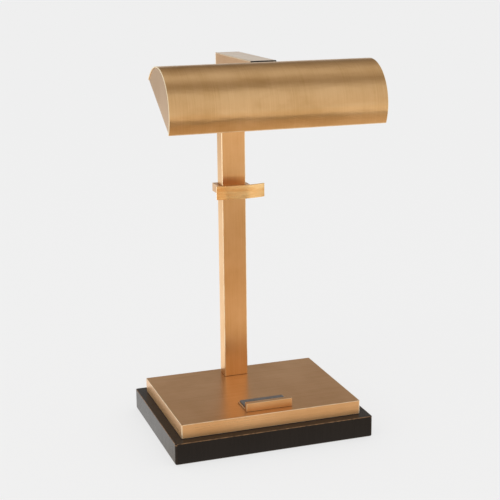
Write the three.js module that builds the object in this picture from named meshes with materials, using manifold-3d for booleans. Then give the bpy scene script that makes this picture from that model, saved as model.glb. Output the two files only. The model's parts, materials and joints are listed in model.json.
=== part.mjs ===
// A lighted table stand that holds one large book upright and open.
// Millimetres, +Z up, the front faces -Y, +X is to the right seen from the front.
// The origin is the centre of the underside of the felt below the base.
//
// Black base and brass plinth, a column with a clip that slides on it, a ledge for the foot
// of the book, and an arm that carries a half-round lamp shade, which tilts about its own axis.

import * as THREE from "three";
import { mergeVertices } from "three/addons/utils/BufferGeometryUtils.js";
import Module from "manifold-3d";

const wasm = await Module();
wasm.setup();

// ---------------------------------------------------------------- driving dimensions

const GAP = 0.3; // air between two pieces that touch

const BASE_WIDTH = 304.8;
const BASE_DEPTH = 236.2;
const BASE_TOP = 32.8;
const BASE_WALL = 5;
const BASE_ROOF = 6;
const BASE_CORNER = 3;
const BASE_CHAMFER = 0.8;
const BASE_BOTTOM = 0.6; // the rim hides the upper part of the felt
const FELT_THICKNESS = 1.5;
const FELT_CORNER = 4;
const COVER_THICKNESS = 2.5;
const BALLAST_SIZE = [230, 130, 6];
const BALLAST_Y = -30;
const TERMINAL_BLOCK_SIZE = [30, 16, 11];
const TERMINAL_BLOCK_PLACE = [-38, 92];

const PLINTH_SIDE_MARGIN = 14;
const PLINTH_FRONT_MARGIN = 15.2;
const PLINTH_HEIGHT = 21.3;
const PLINTH_WALL = 2.5;
const PLINTH_ROOF = 3;
const PLINTH_CORNER = 1.6;
const PLINTH_CHAMFER = 0.7;

const TUBE_WIDTH = 37.6; // the column and the arm are cut from one rectangular tube
const TUBE_DEPTH = 24;
const TUBE_WALL = 2;
const TUBE_CORNER = 1.2;
const TUBE_INNER_CORNER = 0.4;
const COLUMN_FRONT = 65.3;
const INSERT_LENGTH = 30;

const ARM_TOP = 560.6;
const ARM_FRONT = -73.9;
const CAP_THICKNESS = 2;
const CAP_CORNER = 0.9;
const CAP_CHAMFER = 0.3;

const SHADE_AXIS_Y = -86.2;
const SHADE_AXIS_Z = 499.9;
const SHADE_RADIUS = 59.8;
const SHADE_THICKNESS = 1.6;
const SHADE_HALF_WIDTH = 156;
const SHADE_BACK_ANGLE = 40; // degrees from +Y, turning up over the top
const SHADE_FRONT_ANGLE = 205.5;
const NOTCH_END_ANGLE = 85;
const NOTCH_HALF_WIDTH = 20;
const SHADE_CAP_INSET = 1.2;

const LAMP_AXIS_RADIUS = 22; // from the shade's axis to the lamps' axis
const BARREL_RADIUS = 8;
const BARREL_HALF_WIDTH = 12;
const PIVOT_RADIUS = 3;
const EAR_THICKNESS = 2;
const WASHER_THICKNESS = 1;

const CLIP_BOTTOM = 348.7;
const CLIP_TOP = 361.1;
const CLIP_HALF_WIDTH = 25;
const CLIP_FRONT_WALL = 6.6;
const CLIP_BACK_WALL = 7.7;
const CLIP_CLEARANCE = 0.5;
const CLIP_CORNER = 1.2;
const CLIP_LIP_WIDTH = 76.2;
const CLIP_LIP_FRONT = 27.3;
const CLIP_LIP_BOTTOM = 346.8;
const CLIP_LIP_TOP = 367.6;
const CLIP_LIP_BOW = 6;
const CLIP_LIP_THICKNESS = 3;
const BRIDGE_THICKNESS = 4;
const BRIDGE_PAD_SIZE = [42, 20];
const PAD_THICKNESS = 1.5;
const PAD_MARGIN = 3; // bare rim of the lip at either end of its pad
const BRIDGE_PAD_Y = 47;
const KNOB_RADIUS = 9;
const KNOB_LENGTH = 10;
const KNOB_NECK_RADIUS = 5.5;
const KNOB_CHAMFER = 0.8;
const THUMB_SCREW_RADIUS = 3;

const LEDGE_WIDTH = 71.6;
const LEDGE_FRONT = -88.9;
const LEDGE_LIP_THICKNESS = 8;
const LEDGE_LIP_HEIGHT = 13;
const LEDGE_LIP_CORNER = 1;
const LEDGE_LIP_CHAMFER = 0.5;
const LEDGE_SHELF_DEPTH = 32;
const LEDGE_SHELF_THICKNESS = 2.5;
const LEDGE_FELT_SIZE = [67.6, 29];
const LEDGE_FELT_THICKNESS = 1.2;

const NIPPLE_RADIUS = 5;
const NIPPLE_BORE = 3.4;
const CABLE_RADIUS = 2.4;
const CABLE_BORE = 4;
const SCREW_RADIUS = 2;
const SCREW_HEAD_RADIUS = 3.6;
const SCREW_HEAD_HEIGHT = 2;

// ---------------------------------------------------------------- worked-out places

const COVER_BOTTOM = FELT_THICKNESS + GAP;
const COVER_TOP = COVER_BOTTOM + COVER_THICKNESS;
const BASE_INSIDE_WIDTH = BASE_WIDTH - 2 * BASE_WALL;
const BASE_INSIDE_DEPTH = BASE_DEPTH - 2 * BASE_WALL;
const BASE_CEILING = BASE_TOP - BASE_ROOF;

const PLINTH_WIDTH = BASE_WIDTH - 2 * PLINTH_SIDE_MARGIN;
const PLINTH_DEPTH = BASE_DEPTH - 2 * PLINTH_FRONT_MARGIN;
const PLINTH_BOTTOM = BASE_TOP + GAP;
const PLINTH_TOP = BASE_TOP + PLINTH_HEIGHT;
const PLINTH_CEILING = PLINTH_TOP - PLINTH_ROOF;

const COLUMN_BACK = COLUMN_FRONT + TUBE_DEPTH;
const COLUMN_Y = (COLUMN_FRONT + COLUMN_BACK) / 2;
const ARM_BOTTOM = ARM_TOP - TUBE_DEPTH;
const ARM_Z = (ARM_TOP + ARM_BOTTOM) / 2;
const COLUMN_TOP = ARM_BOTTOM - GAP;
const COLUMN_FOOT = PLINTH_TOP + GAP;

const SHADE_MIDDLE_ANGLE = (SHADE_BACK_ANGLE + SHADE_FRONT_ANGLE) / 2;
const SHADE_INNER_RADIUS = SHADE_RADIUS - SHADE_THICKNESS;
const EAR_INNER_X = BARREL_HALF_WIDTH + WASHER_THICKNESS + 2 * GAP;
const EAR_OUTER_X = EAR_INNER_X + EAR_THICKNESS;

// ---------------------------------------------------------------- materials

function surface(name, color, roughness, metalness = 0) {
  return new THREE.MeshStandardMaterial({ name, color, roughness, metalness });
}

const brass = surface("brass", 0xc3945c, 0.32, 1);
const blackLacquer = surface("black_lacquer", 0x29241f, 0.35);
const steel = surface("steel", 0x8d8f90, 0.4, 1);
const blackPlastic = surface("black_plastic", 0x1c1a19, 0.5);
const porcelain = surface("porcelain", 0xe9e6df, 0.3);
const felt = surface("felt", 0x4a382a, 1);
const rubber = surface("rubber", 0x1b1b1b, 0.8);
const glass = surface("glass", 0xf3efe6, 0.1);
const cableJacket = surface("cable_jacket", 0x2a2420, 0.6);

// ---------------------------------------------------------------- shapes and solids

const radians = THREE.MathUtils.degToRad;
const part = new THREE.Group();

function add(name, geometry, material) {
  const mesh = new THREE.Mesh(geometry, material);
  mesh.name = name;
  part.add(mesh);
  return mesh;
}

// A rectangle round (x, y) with round corners, for extruding.
function rectangle(width, depth, radius = 0, x = 0, y = 0) {
  const shape = new THREE.Shape();
  const right = x + width / 2;
  const left = x - width / 2;
  const back = y + depth / 2;
  const front = y - depth / 2;
  if (radius === 0) {
    shape.moveTo(left, front);
    shape.lineTo(right, front);
    shape.lineTo(right, back);
    shape.lineTo(left, back);
    shape.closePath();
    return shape;
  }
  shape.moveTo(left + radius, front);
  shape.lineTo(right - radius, front);
  shape.absarc(right - radius, front + radius, radius, -Math.PI / 2, 0);
  shape.lineTo(right, back - radius);
  shape.absarc(right - radius, back - radius, radius, 0, Math.PI / 2);
  shape.lineTo(left + radius, back);
  shape.absarc(left + radius, back - radius, radius, Math.PI / 2, Math.PI);
  shape.lineTo(left, front + radius);
  shape.absarc(left + radius, front + radius, radius, Math.PI, Math.PI * 1.5);
  return shape;
}

// A shape drawn in X and Y, raised from low to high along Z.
function rise(shape, low, high, curveSegments = 3) {
  const geometry = new THREE.ExtrudeGeometry(shape, {
    depth: high - low,
    bevelEnabled: false,
    curveSegments,
  });
  return geometry.translate(0, 0, low);
}

function block(width, depth, low, high, x = 0, y = 0) {
  return rise(rectangle(width, depth, 0, x, y), low, high);
}

// A block raised from low to high whose upper and lower rims are chamfered.
function chamferedBlock(width, depth, corner, chamfer, low, high, x = 0, y = 0) {
  const shape = rectangle(width - 2 * chamfer, depth - 2 * chamfer, corner - chamfer, x, y);
  const geometry = new THREE.ExtrudeGeometry(shape, {
    depth: high - low - 2 * chamfer,
    bevelEnabled: true,
    bevelThickness: chamfer,
    bevelSize: chamfer,
    bevelSegments: 1,
    curveSegments: 3,
  });
  return geometry.translate(0, 0, low + chamfer);
}

// A shape drawn in Y and Z, stretched from low to high along X.
function across(shape, low, high, curveSegments = 12) {
  const geometry = rise(shape, low, high, curveSegments);
  const turn = new THREE.Matrix4().makeBasis(
    new THREE.Vector3(0, 1, 0),
    new THREE.Vector3(0, 0, 1),
    new THREE.Vector3(1, 0, 0),
  );
  return geometry.applyMatrix4(turn);
}

// A round bar from low to high along "x", "y" or "z", through the given point of that axis.
function bar(axis, radius, low, high, centre, segments = 20) {
  const geometry = new THREE.CylinderGeometry(radius, radius, high - low, segments);
  return along(geometry.translate(0, (low + high) / 2, 0), axis, centre);
}

// Points of a half section, [radius, distance along the axis], turned round an axis.
function turned(axis, profile, centre, segments) {
  const points = profile.map(([radius, distance]) => new THREE.Vector2(radius, distance));
  return along(new THREE.LatheGeometry(points, segments), axis, centre);
}

// A solid made round +Y is laid along the named axis and moved to centre.
function along(geometry, axis, centre) {
  if (axis === "x") geometry.rotateZ(-Math.PI / 2);
  if (axis === "z") geometry.rotateX(Math.PI / 2);
  return geometry.translate(...centre);
}

function toSolid(geometry) {
  const bare = geometry.clone();
  bare.deleteAttribute("normal");
  bare.deleteAttribute("uv");
  const merged = mergeVertices(bare, 1e-4);
  return new wasm.Manifold(
    new wasm.Mesh({
      numProp: 3,
      vertProperties: merged.attributes.position.array,
      triVerts: new Uint32Array(merged.index.array),
    }),
  );
}

function toGeometry(solid) {
  const { vertProperties, triVerts } = solid.getMesh();
  const geometry = new THREE.BufferGeometry();
  geometry.setAttribute("position", new THREE.BufferAttribute(vertProperties, 3));
  geometry.setIndex(new THREE.BufferAttribute(triVerts, 1));
  geometry.computeVertexNormals();
  return geometry;
}

function cut(body, ...tools) {
  return toGeometry(tools.reduce((left, tool) => left.subtract(toSolid(tool)), toSolid(body)));
}

function join(...bodies) {
  const [first, ...others] = bodies.map(toSolid);
  return toGeometry(others.reduce((whole, next) => whole.add(next), first));
}

// A cheese-head screw: its head is at the start, and a negative length runs back along the axis.
function screw(name, axis, centre, start, length) {
  const direction = Math.sign(length);
  const neck = start + direction * SCREW_HEAD_HEIGHT;
  const profile = [
    [0, start],
    [SCREW_HEAD_RADIUS, start],
    [SCREW_HEAD_RADIUS, neck],
    [SCREW_RADIUS, neck],
    [SCREW_RADIUS, start + length],
    [0, start + length],
  ];
  if (direction < 0) profile.reverse();
  add(name, turned(axis, profile, centre, 10), steel);
}

function clearanceHole(axis, low, high, centre) {
  return bar(axis, SCREW_RADIUS + GAP, low, high, centre, 12);
}

// ---------------------------------------------------------------- base

const COVER_SCREW_X = BASE_WIDTH / 2 - BASE_WALL - 7;
const COVER_SCREW_Y = BASE_DEPTH / 2 - BASE_WALL - 7;
const CORNERS = {
  front_left: [-COVER_SCREW_X, -COVER_SCREW_Y],
  front_right: [COVER_SCREW_X, -COVER_SCREW_Y],
  back_left: [-COVER_SCREW_X, COVER_SCREW_Y],
  back_right: [COVER_SCREW_X, COVER_SCREW_Y],
};
const COVER_SCREW_LENGTH = 12;
const COVER_SCREW_END = COVER_BOTTOM + COVER_SCREW_LENGTH;
const COVER_BOSS_RADIUS = 6;
const PLINTH_SCREW_PLACES = { left: [-100, -70], right: [100, -70] };
const PLINTH_SCREW_LENGTH = 20;
const PLINTH_SCREW_START = BASE_CEILING - GAP - SCREW_HEAD_HEIGHT;
const PLINTH_BOSS_RADIUS = 5;
const NIPPLE_PLACE = [0, COLUMN_Y, 0];
const INLET_PLACE = [0, 0, 14.5];
const INLET_RADIUS = 6;
const INLET_BORE = 3.6;
const INLET_FLANGE = 1.6;
const INLET_FLANGE_RADIUS = 8.5;

function makeBase() {
  const outer = chamferedBlock(BASE_WIDTH, BASE_DEPTH, BASE_CORNER, BASE_CHAMFER, BASE_BOTTOM, BASE_TOP);
  const inside = block(BASE_INSIDE_WIDTH, BASE_INSIDE_DEPTH, 0, BASE_CEILING);
  const shell = cut(outer, inside);
  const bosses = Object.values(CORNERS).map(([x, y]) =>
    bar("z", COVER_BOSS_RADIUS, COVER_TOP + GAP, BASE_CEILING + 1, [x, y, 0], 16),
  );
  const holes = [
    ...Object.values(CORNERS).map(([x, y]) => clearanceHole("z", 0, COVER_SCREW_END + 2, [x, y, 0])),
    ...Object.values(PLINTH_SCREW_PLACES).map(([x, y]) =>
      clearanceHole("z", BASE_CEILING - 1, BASE_TOP + 1, [x, y, 0]),
    ),
    bar("z", NIPPLE_RADIUS + GAP, BASE_CEILING - 1, BASE_TOP + 1, NIPPLE_PLACE),
    bar("y", INLET_RADIUS + GAP, BASE_DEPTH / 2 - 10, BASE_DEPTH / 2 + 10, INLET_PLACE),
  ];
  add("base_block", cut(join(shell, ...bosses), ...holes), blackLacquer);

  const coverWidth = BASE_INSIDE_WIDTH - 2 * GAP;
  const coverDepth = BASE_INSIDE_DEPTH - 2 * GAP;
  const cover = block(coverWidth, coverDepth, COVER_BOTTOM, COVER_TOP);
  const coverHoles = Object.values(CORNERS).map(([x, y]) =>
    bar("z", SCREW_HEAD_RADIUS + GAP, COVER_BOTTOM - 1, COVER_TOP + 1, [x, y, 0], 12),
  );
  add("base_cover", cut(cover, ...coverHoles), steel);
  for (const [corner, [x, y]] of Object.entries(CORNERS)) {
    screw(`cover_screw_${corner}`, "z", [x, y, 0], COVER_BOTTOM + 0.2, COVER_SCREW_LENGTH);
  }

  const feltWidth = BASE_INSIDE_WIDTH - 4 * GAP;
  const feltDepth = BASE_INSIDE_DEPTH - 4 * GAP;
  add("base_felt", rise(rectangle(feltWidth, feltDepth, FELT_CORNER), 0, FELT_THICKNESS), felt);

  const [ballastWidth, ballastDepth, ballastHeight] = BALLAST_SIZE;
  const ballastBottom = COVER_TOP + GAP;
  const ballastTop = ballastBottom + ballastHeight;
  add("ballast_plate", block(ballastWidth, ballastDepth, ballastBottom, ballastTop, 0, BALLAST_Y), steel);

  makeInlet();
}

// The cord's inlet: a rubber bush in the back wall, and the terminal block behind it.
function makeInlet() {
  const inner = BASE_DEPTH / 2 - BASE_WALL - GAP;
  const outer = BASE_DEPTH / 2 + GAP;
  const profile = [
    [INLET_BORE, inner - INLET_FLANGE],
    [INLET_FLANGE_RADIUS, inner - INLET_FLANGE],
    [INLET_FLANGE_RADIUS, inner],
    [INLET_RADIUS, inner],
    [INLET_RADIUS, outer],
    [INLET_FLANGE_RADIUS, outer],
    [INLET_FLANGE_RADIUS, outer + INLET_FLANGE],
    [INLET_BORE, outer + INLET_FLANGE],
    [INLET_BORE, inner - INLET_FLANGE],
  ];
  add("inlet_bush", turned("y", profile, INLET_PLACE, 20), rubber);

  const [width, depth, height] = TERMINAL_BLOCK_SIZE;
  const top = BASE_CEILING - GAP;
  add("terminal_block", block(width, depth, top - height, top, ...TERMINAL_BLOCK_PLACE), blackPlastic);
}

// ---------------------------------------------------------------- plinth and ledge

const LEDGE_SCREW_PLACES = { left: -22, right: 22 };
const LEDGE_SCREW_START = PLINTH_CEILING - GAP - SCREW_HEAD_HEIGHT;
const LEDGE_SCREW_LENGTH = 12.5;
const LEDGE_BOTTOM = PLINTH_TOP + GAP;
const LEDGE_LIP_Y = LEDGE_FRONT + LEDGE_LIP_THICKNESS / 2;

function makePlinth() {
  const size = [PLINTH_WIDTH, PLINTH_DEPTH];
  const outer = chamferedBlock(...size, PLINTH_CORNER, PLINTH_CHAMFER, PLINTH_BOTTOM, PLINTH_TOP);
  const inside = block(
    PLINTH_WIDTH - 2 * PLINTH_WALL,
    PLINTH_DEPTH - 2 * PLINTH_WALL,
    PLINTH_BOTTOM - 1,
    PLINTH_CEILING,
  );
  const bosses = Object.values(PLINTH_SCREW_PLACES).map(([x, y]) =>
    bar("z", PLINTH_BOSS_RADIUS, PLINTH_BOTTOM, PLINTH_CEILING + 1, [x, y, 0], 16),
  );
  const [roofLow, roofHigh] = [PLINTH_CEILING - 1, PLINTH_TOP + 1];
  const holes = [
    ...Object.values(PLINTH_SCREW_PLACES).map(([x, y]) =>
      clearanceHole("z", PLINTH_BOTTOM - 1, PLINTH_SCREW_START + PLINTH_SCREW_LENGTH + 2, [x, y, 0]),
    ),
    ...Object.values(LEDGE_SCREW_PLACES).map((x) =>
      clearanceHole("z", roofLow, roofHigh, [x, LEDGE_LIP_Y, 0]),
    ),
    bar("z", NIPPLE_RADIUS + GAP, roofLow, roofHigh, NIPPLE_PLACE),
  ];
  add("plinth", cut(join(cut(outer, inside), ...bosses), ...holes), brass);
  for (const [side, [x, y]] of Object.entries(PLINTH_SCREW_PLACES)) {
    screw(`plinth_screw_${side}`, "z", [x, y, 0], PLINTH_SCREW_START, PLINTH_SCREW_LENGTH);
  }
}

function makeLedge() {
  const lipTop = PLINTH_TOP + LEDGE_LIP_HEIGHT;
  const size = [LEDGE_WIDTH, LEDGE_LIP_THICKNESS];
  const edges = [LEDGE_LIP_CORNER, LEDGE_LIP_CHAMFER];
  const lip = chamferedBlock(...size, ...edges, LEDGE_BOTTOM, lipTop, 0, LEDGE_LIP_Y);
  const holeTop = LEDGE_SCREW_START + LEDGE_SCREW_LENGTH + 1;
  const holes = Object.values(LEDGE_SCREW_PLACES).map((x) =>
    clearanceHole("z", LEDGE_BOTTOM - 1, holeTop, [x, LEDGE_LIP_Y, 0]),
  );
  add("ledge_lip", cut(lip, ...holes), brass);
  for (const [side, x] of Object.entries(LEDGE_SCREW_PLACES)) {
    screw(`ledge_screw_${side}`, "z", [x, LEDGE_LIP_Y, 0], LEDGE_SCREW_START, LEDGE_SCREW_LENGTH);
  }

  const shelfFront = LEDGE_FRONT + LEDGE_LIP_THICKNESS + GAP;
  const shelfY = shelfFront + LEDGE_SHELF_DEPTH / 2;
  const shelfTop = LEDGE_BOTTOM + LEDGE_SHELF_THICKNESS;
  add("ledge_shelf", block(LEDGE_WIDTH, LEDGE_SHELF_DEPTH, LEDGE_BOTTOM, shelfTop, 0, shelfY), brass);
  const feltBottom = shelfTop + GAP;
  const feltTop = feltBottom + LEDGE_FELT_THICKNESS;
  add("ledge_felt", block(...LEDGE_FELT_SIZE, feltBottom, feltTop, 0, shelfY), felt);
}

// ---------------------------------------------------------------- column and arm

const FOOT_SCREW_HEIGHTS = { lower: COLUMN_FOOT + 8, upper: COLUMN_FOOT + 22 };
const ELBOW_BOTTOM = COLUMN_TOP - INSERT_LENGTH;
const ELBOW_SCREW_HEIGHT = ELBOW_BOTTOM + 10;
const ELBOW_SCREW_PLACES = { left: -11, right: 11 };
const COLUMN_SCREW_LENGTH = 8.5;
const BRACKET_SCREW_PLACES = { front: -62, back: -50 };
const ELBOW_SCREW_LENGTH = 22;
const ARM_BACK = COLUMN_BACK;
const PLUG_DEPTH = 6;
const PLUG_SHIFT = 3.5; // from the middle of a cap's face to the middle of its plug

function tubeShape(width, depth, x, y) {
  const shape = rectangle(width, depth, TUBE_CORNER, x, y);
  shape.holes.push(rectangle(width - 2 * TUBE_WALL, depth - 2 * TUBE_WALL, TUBE_INNER_CORNER, x, y));
  return shape;
}

// A block that fills the tube, with a bore along it and holes for its screws.
function makeInsert(name, low, bore, screwHoles) {
  const width = TUBE_WIDTH - 2 * TUBE_WALL - 2 * GAP;
  const depth = TUBE_DEPTH - 2 * TUBE_WALL - 2 * GAP;
  const body = rise(rectangle(width, depth, 1, 0, COLUMN_Y), low, low + INSERT_LENGTH);
  const mainBore = bar("z", bore, low - 1, low + INSERT_LENGTH + 1, NIPPLE_PLACE);
  add(name, cut(body, mainBore, ...screwHoles), steel);
}

function makeColumn() {
  const tube = rise(tubeShape(TUBE_WIDTH, TUBE_DEPTH, 0, COLUMN_Y), COLUMN_FOOT, COLUMN_TOP);
  const screwHeights = [...Object.values(FOOT_SCREW_HEIGHTS), ELBOW_SCREW_HEIGHT];
  const holes = screwHeights.map((z) => clearanceHole("y", COLUMN_BACK - 6, COLUMN_BACK + 4, [0, 0, z]));
  add("column", cut(tube, ...holes), brass);

  const backHole = (z) => clearanceHole("y", COLUMN_Y + 2, COLUMN_BACK, [0, 0, z]);
  const upperHole = (x) => clearanceHole("z", ELBOW_BOTTOM + 8, COLUMN_TOP + 1, [x, COLUMN_Y, 0]);
  const footHoles = Object.values(FOOT_SCREW_HEIGHTS).map(backHole);
  const elbowHoles = [backHole(ELBOW_SCREW_HEIGHT), ...Object.values(ELBOW_SCREW_PLACES).map(upperHole)];
  makeInsert("foot_insert", COLUMN_FOOT, NIPPLE_RADIUS + GAP, footHoles);
  makeInsert("elbow_insert", ELBOW_BOTTOM, CABLE_BORE, elbowHoles);

  const headOutside = COLUMN_BACK + GAP + SCREW_HEAD_HEIGHT;
  for (const [place, z] of Object.entries(FOOT_SCREW_HEIGHTS)) {
    screw(`foot_screw_${place}`, "y", [0, 0, z], headOutside, -COLUMN_SCREW_LENGTH);
  }
  screw("elbow_back_screw", "y", [0, 0, ELBOW_SCREW_HEIGHT], headOutside, -COLUMN_SCREW_LENGTH);
}

const NIPPLE_BOTTOM = 14.5;
const FOOT_WASHER_RADIUS = 13;
const FOOT_WASHER_THICKNESS = 1.7;
const FOOT_NUT_RADIUS = 9.8;
const FOOT_NUT_HEIGHT = 5.5;

// The threaded tube that clamps column, plinth and base together and carries the cable.
function makeNipple() {
  const top = COLUMN_FOOT + INSERT_LENGTH - 4;
  const profile = [
    [NIPPLE_BORE, NIPPLE_BOTTOM],
    [NIPPLE_RADIUS, NIPPLE_BOTTOM],
    [NIPPLE_RADIUS, top],
    [NIPPLE_BORE, top],
    [NIPPLE_BORE, NIPPLE_BOTTOM],
  ];
  add("threaded_tube", turned("z", profile, NIPPLE_PLACE, 20), steel);

  const washerTop = BASE_CEILING - GAP;
  const washerBottom = washerTop - FOOT_WASHER_THICKNESS;
  const washer = bar("z", FOOT_WASHER_RADIUS, washerBottom, washerTop, NIPPLE_PLACE, 28);
  const washerHole = bar("z", NIPPLE_RADIUS + GAP, washerBottom - 1, washerTop + 1, NIPPLE_PLACE);
  add("foot_washer", cut(washer, washerHole), steel);

  const nutTop = washerBottom - GAP;
  const nutBottom = nutTop - FOOT_NUT_HEIGHT;
  const nut = bar("z", FOOT_NUT_RADIUS, nutBottom, nutTop, NIPPLE_PLACE, 6);
  const nutHole = bar("z", NIPPLE_RADIUS + GAP, nutBottom - 1, nutTop + 1, NIPPLE_PLACE);
  add("foot_nut", cut(nut, nutHole), steel);
}

function makeArm() {
  const front = ARM_FRONT + CAP_THICKNESS + GAP;
  const back = ARM_BACK - CAP_THICKNESS - GAP;
  const shape = tubeShape(TUBE_WIDTH, TUBE_DEPTH, 0, ARM_Z);
  const tube = rise(shape, front, back);
  const layAlongY = new THREE.Matrix4().makeBasis(
    new THREE.Vector3(-1, 0, 0),
    new THREE.Vector3(0, 0, 1),
    new THREE.Vector3(0, 1, 0),
  );
  tube.applyMatrix4(layAlongY);
  const floorLow = ARM_BOTTOM - 2;
  const floorHigh = ARM_BOTTOM + TUBE_WALL + 2;
  const floorHole = (x, y) => clearanceHole("z", floorLow, floorHigh, [x, y, 0]);
  const holes = [
    ...Object.values(ELBOW_SCREW_PLACES).map((x) => floorHole(x, COLUMN_Y)),
    ...Object.values(BRACKET_SCREW_PLACES).map((y) => floorHole(0, y)),
    bar("z", CABLE_BORE, floorLow, floorHigh, NIPPLE_PLACE),
  ];
  add("arm", cut(tube, ...holes), brass);

  const plugWidth = TUBE_WIDTH - 2 * TUBE_WALL - 2 * GAP;
  const plugHeight = TUBE_DEPTH - 2 * TUBE_WALL - 2 * GAP;
  const plug = block(plugWidth, PLUG_DEPTH, 0, plugHeight);
  plug.translate(0, 0, ARM_BOTTOM + TUBE_WALL + GAP);
  const face = chamferedBlock(TUBE_WIDTH, CAP_THICKNESS, CAP_CORNER, CAP_CHAMFER, ARM_BOTTOM, ARM_TOP);
  const capWithPlug = (y, inward) =>
    join(face.clone().translate(0, y, 0), plug.clone().translate(0, y + inward * PLUG_SHIFT, 0));
  add("arm_front_cap", capWithPlug(ARM_FRONT + CAP_THICKNESS / 2, 1), blackPlastic);
  add("arm_back_cap", capWithPlug(ARM_BACK - CAP_THICKNESS / 2, -1), brass);

  const headTop = ARM_BOTTOM + TUBE_WALL + GAP + SCREW_HEAD_HEIGHT;
  for (const [side, x] of Object.entries(ELBOW_SCREW_PLACES)) {
    screw(`elbow_screw_${side}`, "z", [x, COLUMN_Y, 0], headTop, -ELBOW_SCREW_LENGTH);
  }
}

// ---------------------------------------------------------------- swivel under the arm

const BRACKET_WIDTH = 18;
const BRACKET_THICKNESS = 4;
const BRACKET_TOP = ARM_BOTTOM - GAP;
const BRACKET_BACK = -44;
const BRACKET_SCREW_LENGTH = 14;
const NUT_PLATE_SIZE = [14, 20, 3];
const NUT_PLATE_BOTTOM = ARM_BOTTOM + TUBE_WALL + GAP;
const WASHER_RADIUS = 7;
const BOLT_HEAD_RADIUS = 5.2;
const BOLT_HEAD_HEIGHT = 3.5;
const BOLT_END = EAR_OUTER_X + 7;
const PIVOT_NUT_RADIUS = 5.5;
const PIVOT_NUT_HEIGHT = 5;

function makeSwivel() {
  const axisPlace = [0, SHADE_AXIS_Y, SHADE_AXIS_Z];
  const underBottom = BRACKET_TOP - BRACKET_THICKNESS;
  const frontFace = SHADE_AXIS_Y - BRACKET_THICKNESS / 2;
  const underY = (BRACKET_BACK + frontFace) / 2;
  const under = block(BRACKET_WIDTH, BRACKET_BACK - frontFace, underBottom, BRACKET_TOP, 0, underY);
  const dropLow = SHADE_AXIS_Z + 4;
  const drop = block(BRACKET_WIDTH, BRACKET_THICKNESS, dropLow, BRACKET_TOP - 1, 0, SHADE_AXIS_Y);
  const barrel = bar("x", BARREL_RADIUS, -BARREL_HALF_WIDTH, BARREL_HALF_WIDTH, axisPlace, 28);
  const pivotHole = (low, high) => bar("x", PIVOT_RADIUS + GAP, low - 1, high + 1, axisPlace);
  const screwHoles = (low, high) =>
    Object.values(BRACKET_SCREW_PLACES).map((y) => clearanceHole("z", low - 1, high + 1, [0, y, 0]));
  const holes = [pivotHole(-BARREL_HALF_WIDTH, BARREL_HALF_WIDTH), ...screwHoles(underBottom, BRACKET_TOP)];
  add("swivel_bracket", cut(join(under, drop, barrel), ...holes), brass);

  const [plateWidth, plateDepth, plateHeight] = NUT_PLATE_SIZE;
  const plateTop = NUT_PLATE_BOTTOM + plateHeight;
  const plateY = (BRACKET_SCREW_PLACES.front + BRACKET_SCREW_PLACES.back) / 2;
  const plate = block(plateWidth, plateDepth, NUT_PLATE_BOTTOM, plateTop, 0, plateY);
  add("nut_plate", cut(plate, ...screwHoles(NUT_PLATE_BOTTOM, plateTop)), steel);
  const headBottom = underBottom - GAP - SCREW_HEAD_HEIGHT;
  for (const [place, y] of Object.entries(BRACKET_SCREW_PLACES)) {
    screw(`bracket_screw_${place}`, "z", [0, y, 0], headBottom, BRACKET_SCREW_LENGTH);
  }

  const washerNear = BARREL_HALF_WIDTH + GAP;
  const washerFar = washerNear + WASHER_THICKNESS;
  const washerSides = { left: [-washerFar, -washerNear], right: [washerNear, washerFar] };
  for (const [side, [low, high]] of Object.entries(washerSides)) {
    const disc = bar("x", WASHER_RADIUS, low, high, axisPlace, 24);
    add(`friction_washer_${side}`, cut(disc, pivotHole(low, high)), rubber);
  }

  const headFace = -EAR_OUTER_X - GAP;
  const bolt = [
    [0, headFace - BOLT_HEAD_HEIGHT],
    [BOLT_HEAD_RADIUS, headFace - BOLT_HEAD_HEIGHT],
    [BOLT_HEAD_RADIUS, headFace],
    [PIVOT_RADIUS, headFace],
    [PIVOT_RADIUS, BOLT_END],
    [0, BOLT_END],
  ];
  add("pivot_bolt", turned("x", bolt, axisPlace, 20), steel);
  const nutLow = EAR_OUTER_X + GAP;
  const nutHigh = nutLow + PIVOT_NUT_HEIGHT;
  const nut = bar("x", PIVOT_NUT_RADIUS, nutLow, nutHigh, axisPlace, 6);
  add("pivot_nut", cut(nut, pivotHole(nutLow, nutHigh)), steel);
}

// ---------------------------------------------------------------- shade and lamps

// A ring sector in Y and Z round the shade's axis, between two radii and two angles.
function sector(inner, outer, fromAngle, toAngle) {
  const shape = new THREE.Shape();
  const [from, to] = [radians(fromAngle), radians(toAngle)];
  shape.absarc(SHADE_AXIS_Y, SHADE_AXIS_Z, outer, from, to, false);
  shape.absarc(SHADE_AXIS_Y, SHADE_AXIS_Z, inner, to, from, true);
  shape.closePath();
  return shape;
}

// A segment of a disc round the shade's axis, closed by the chord between the two angles.
function discSegment(radius, fromAngle, toAngle) {
  const shape = new THREE.Shape();
  shape.absarc(SHADE_AXIS_Y, SHADE_AXIS_Z, radius, radians(fromAngle), radians(toAngle), false);
  shape.closePath();
  return shape;
}

// The point at a radius and an angle round the shade's axis, at a place along X.
function polar(radius, angle, x = 0) {
  const turn = radians(angle);
  return [x, SHADE_AXIS_Y + radius * Math.cos(turn), SHADE_AXIS_Z + radius * Math.sin(turn)];
}

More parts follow.
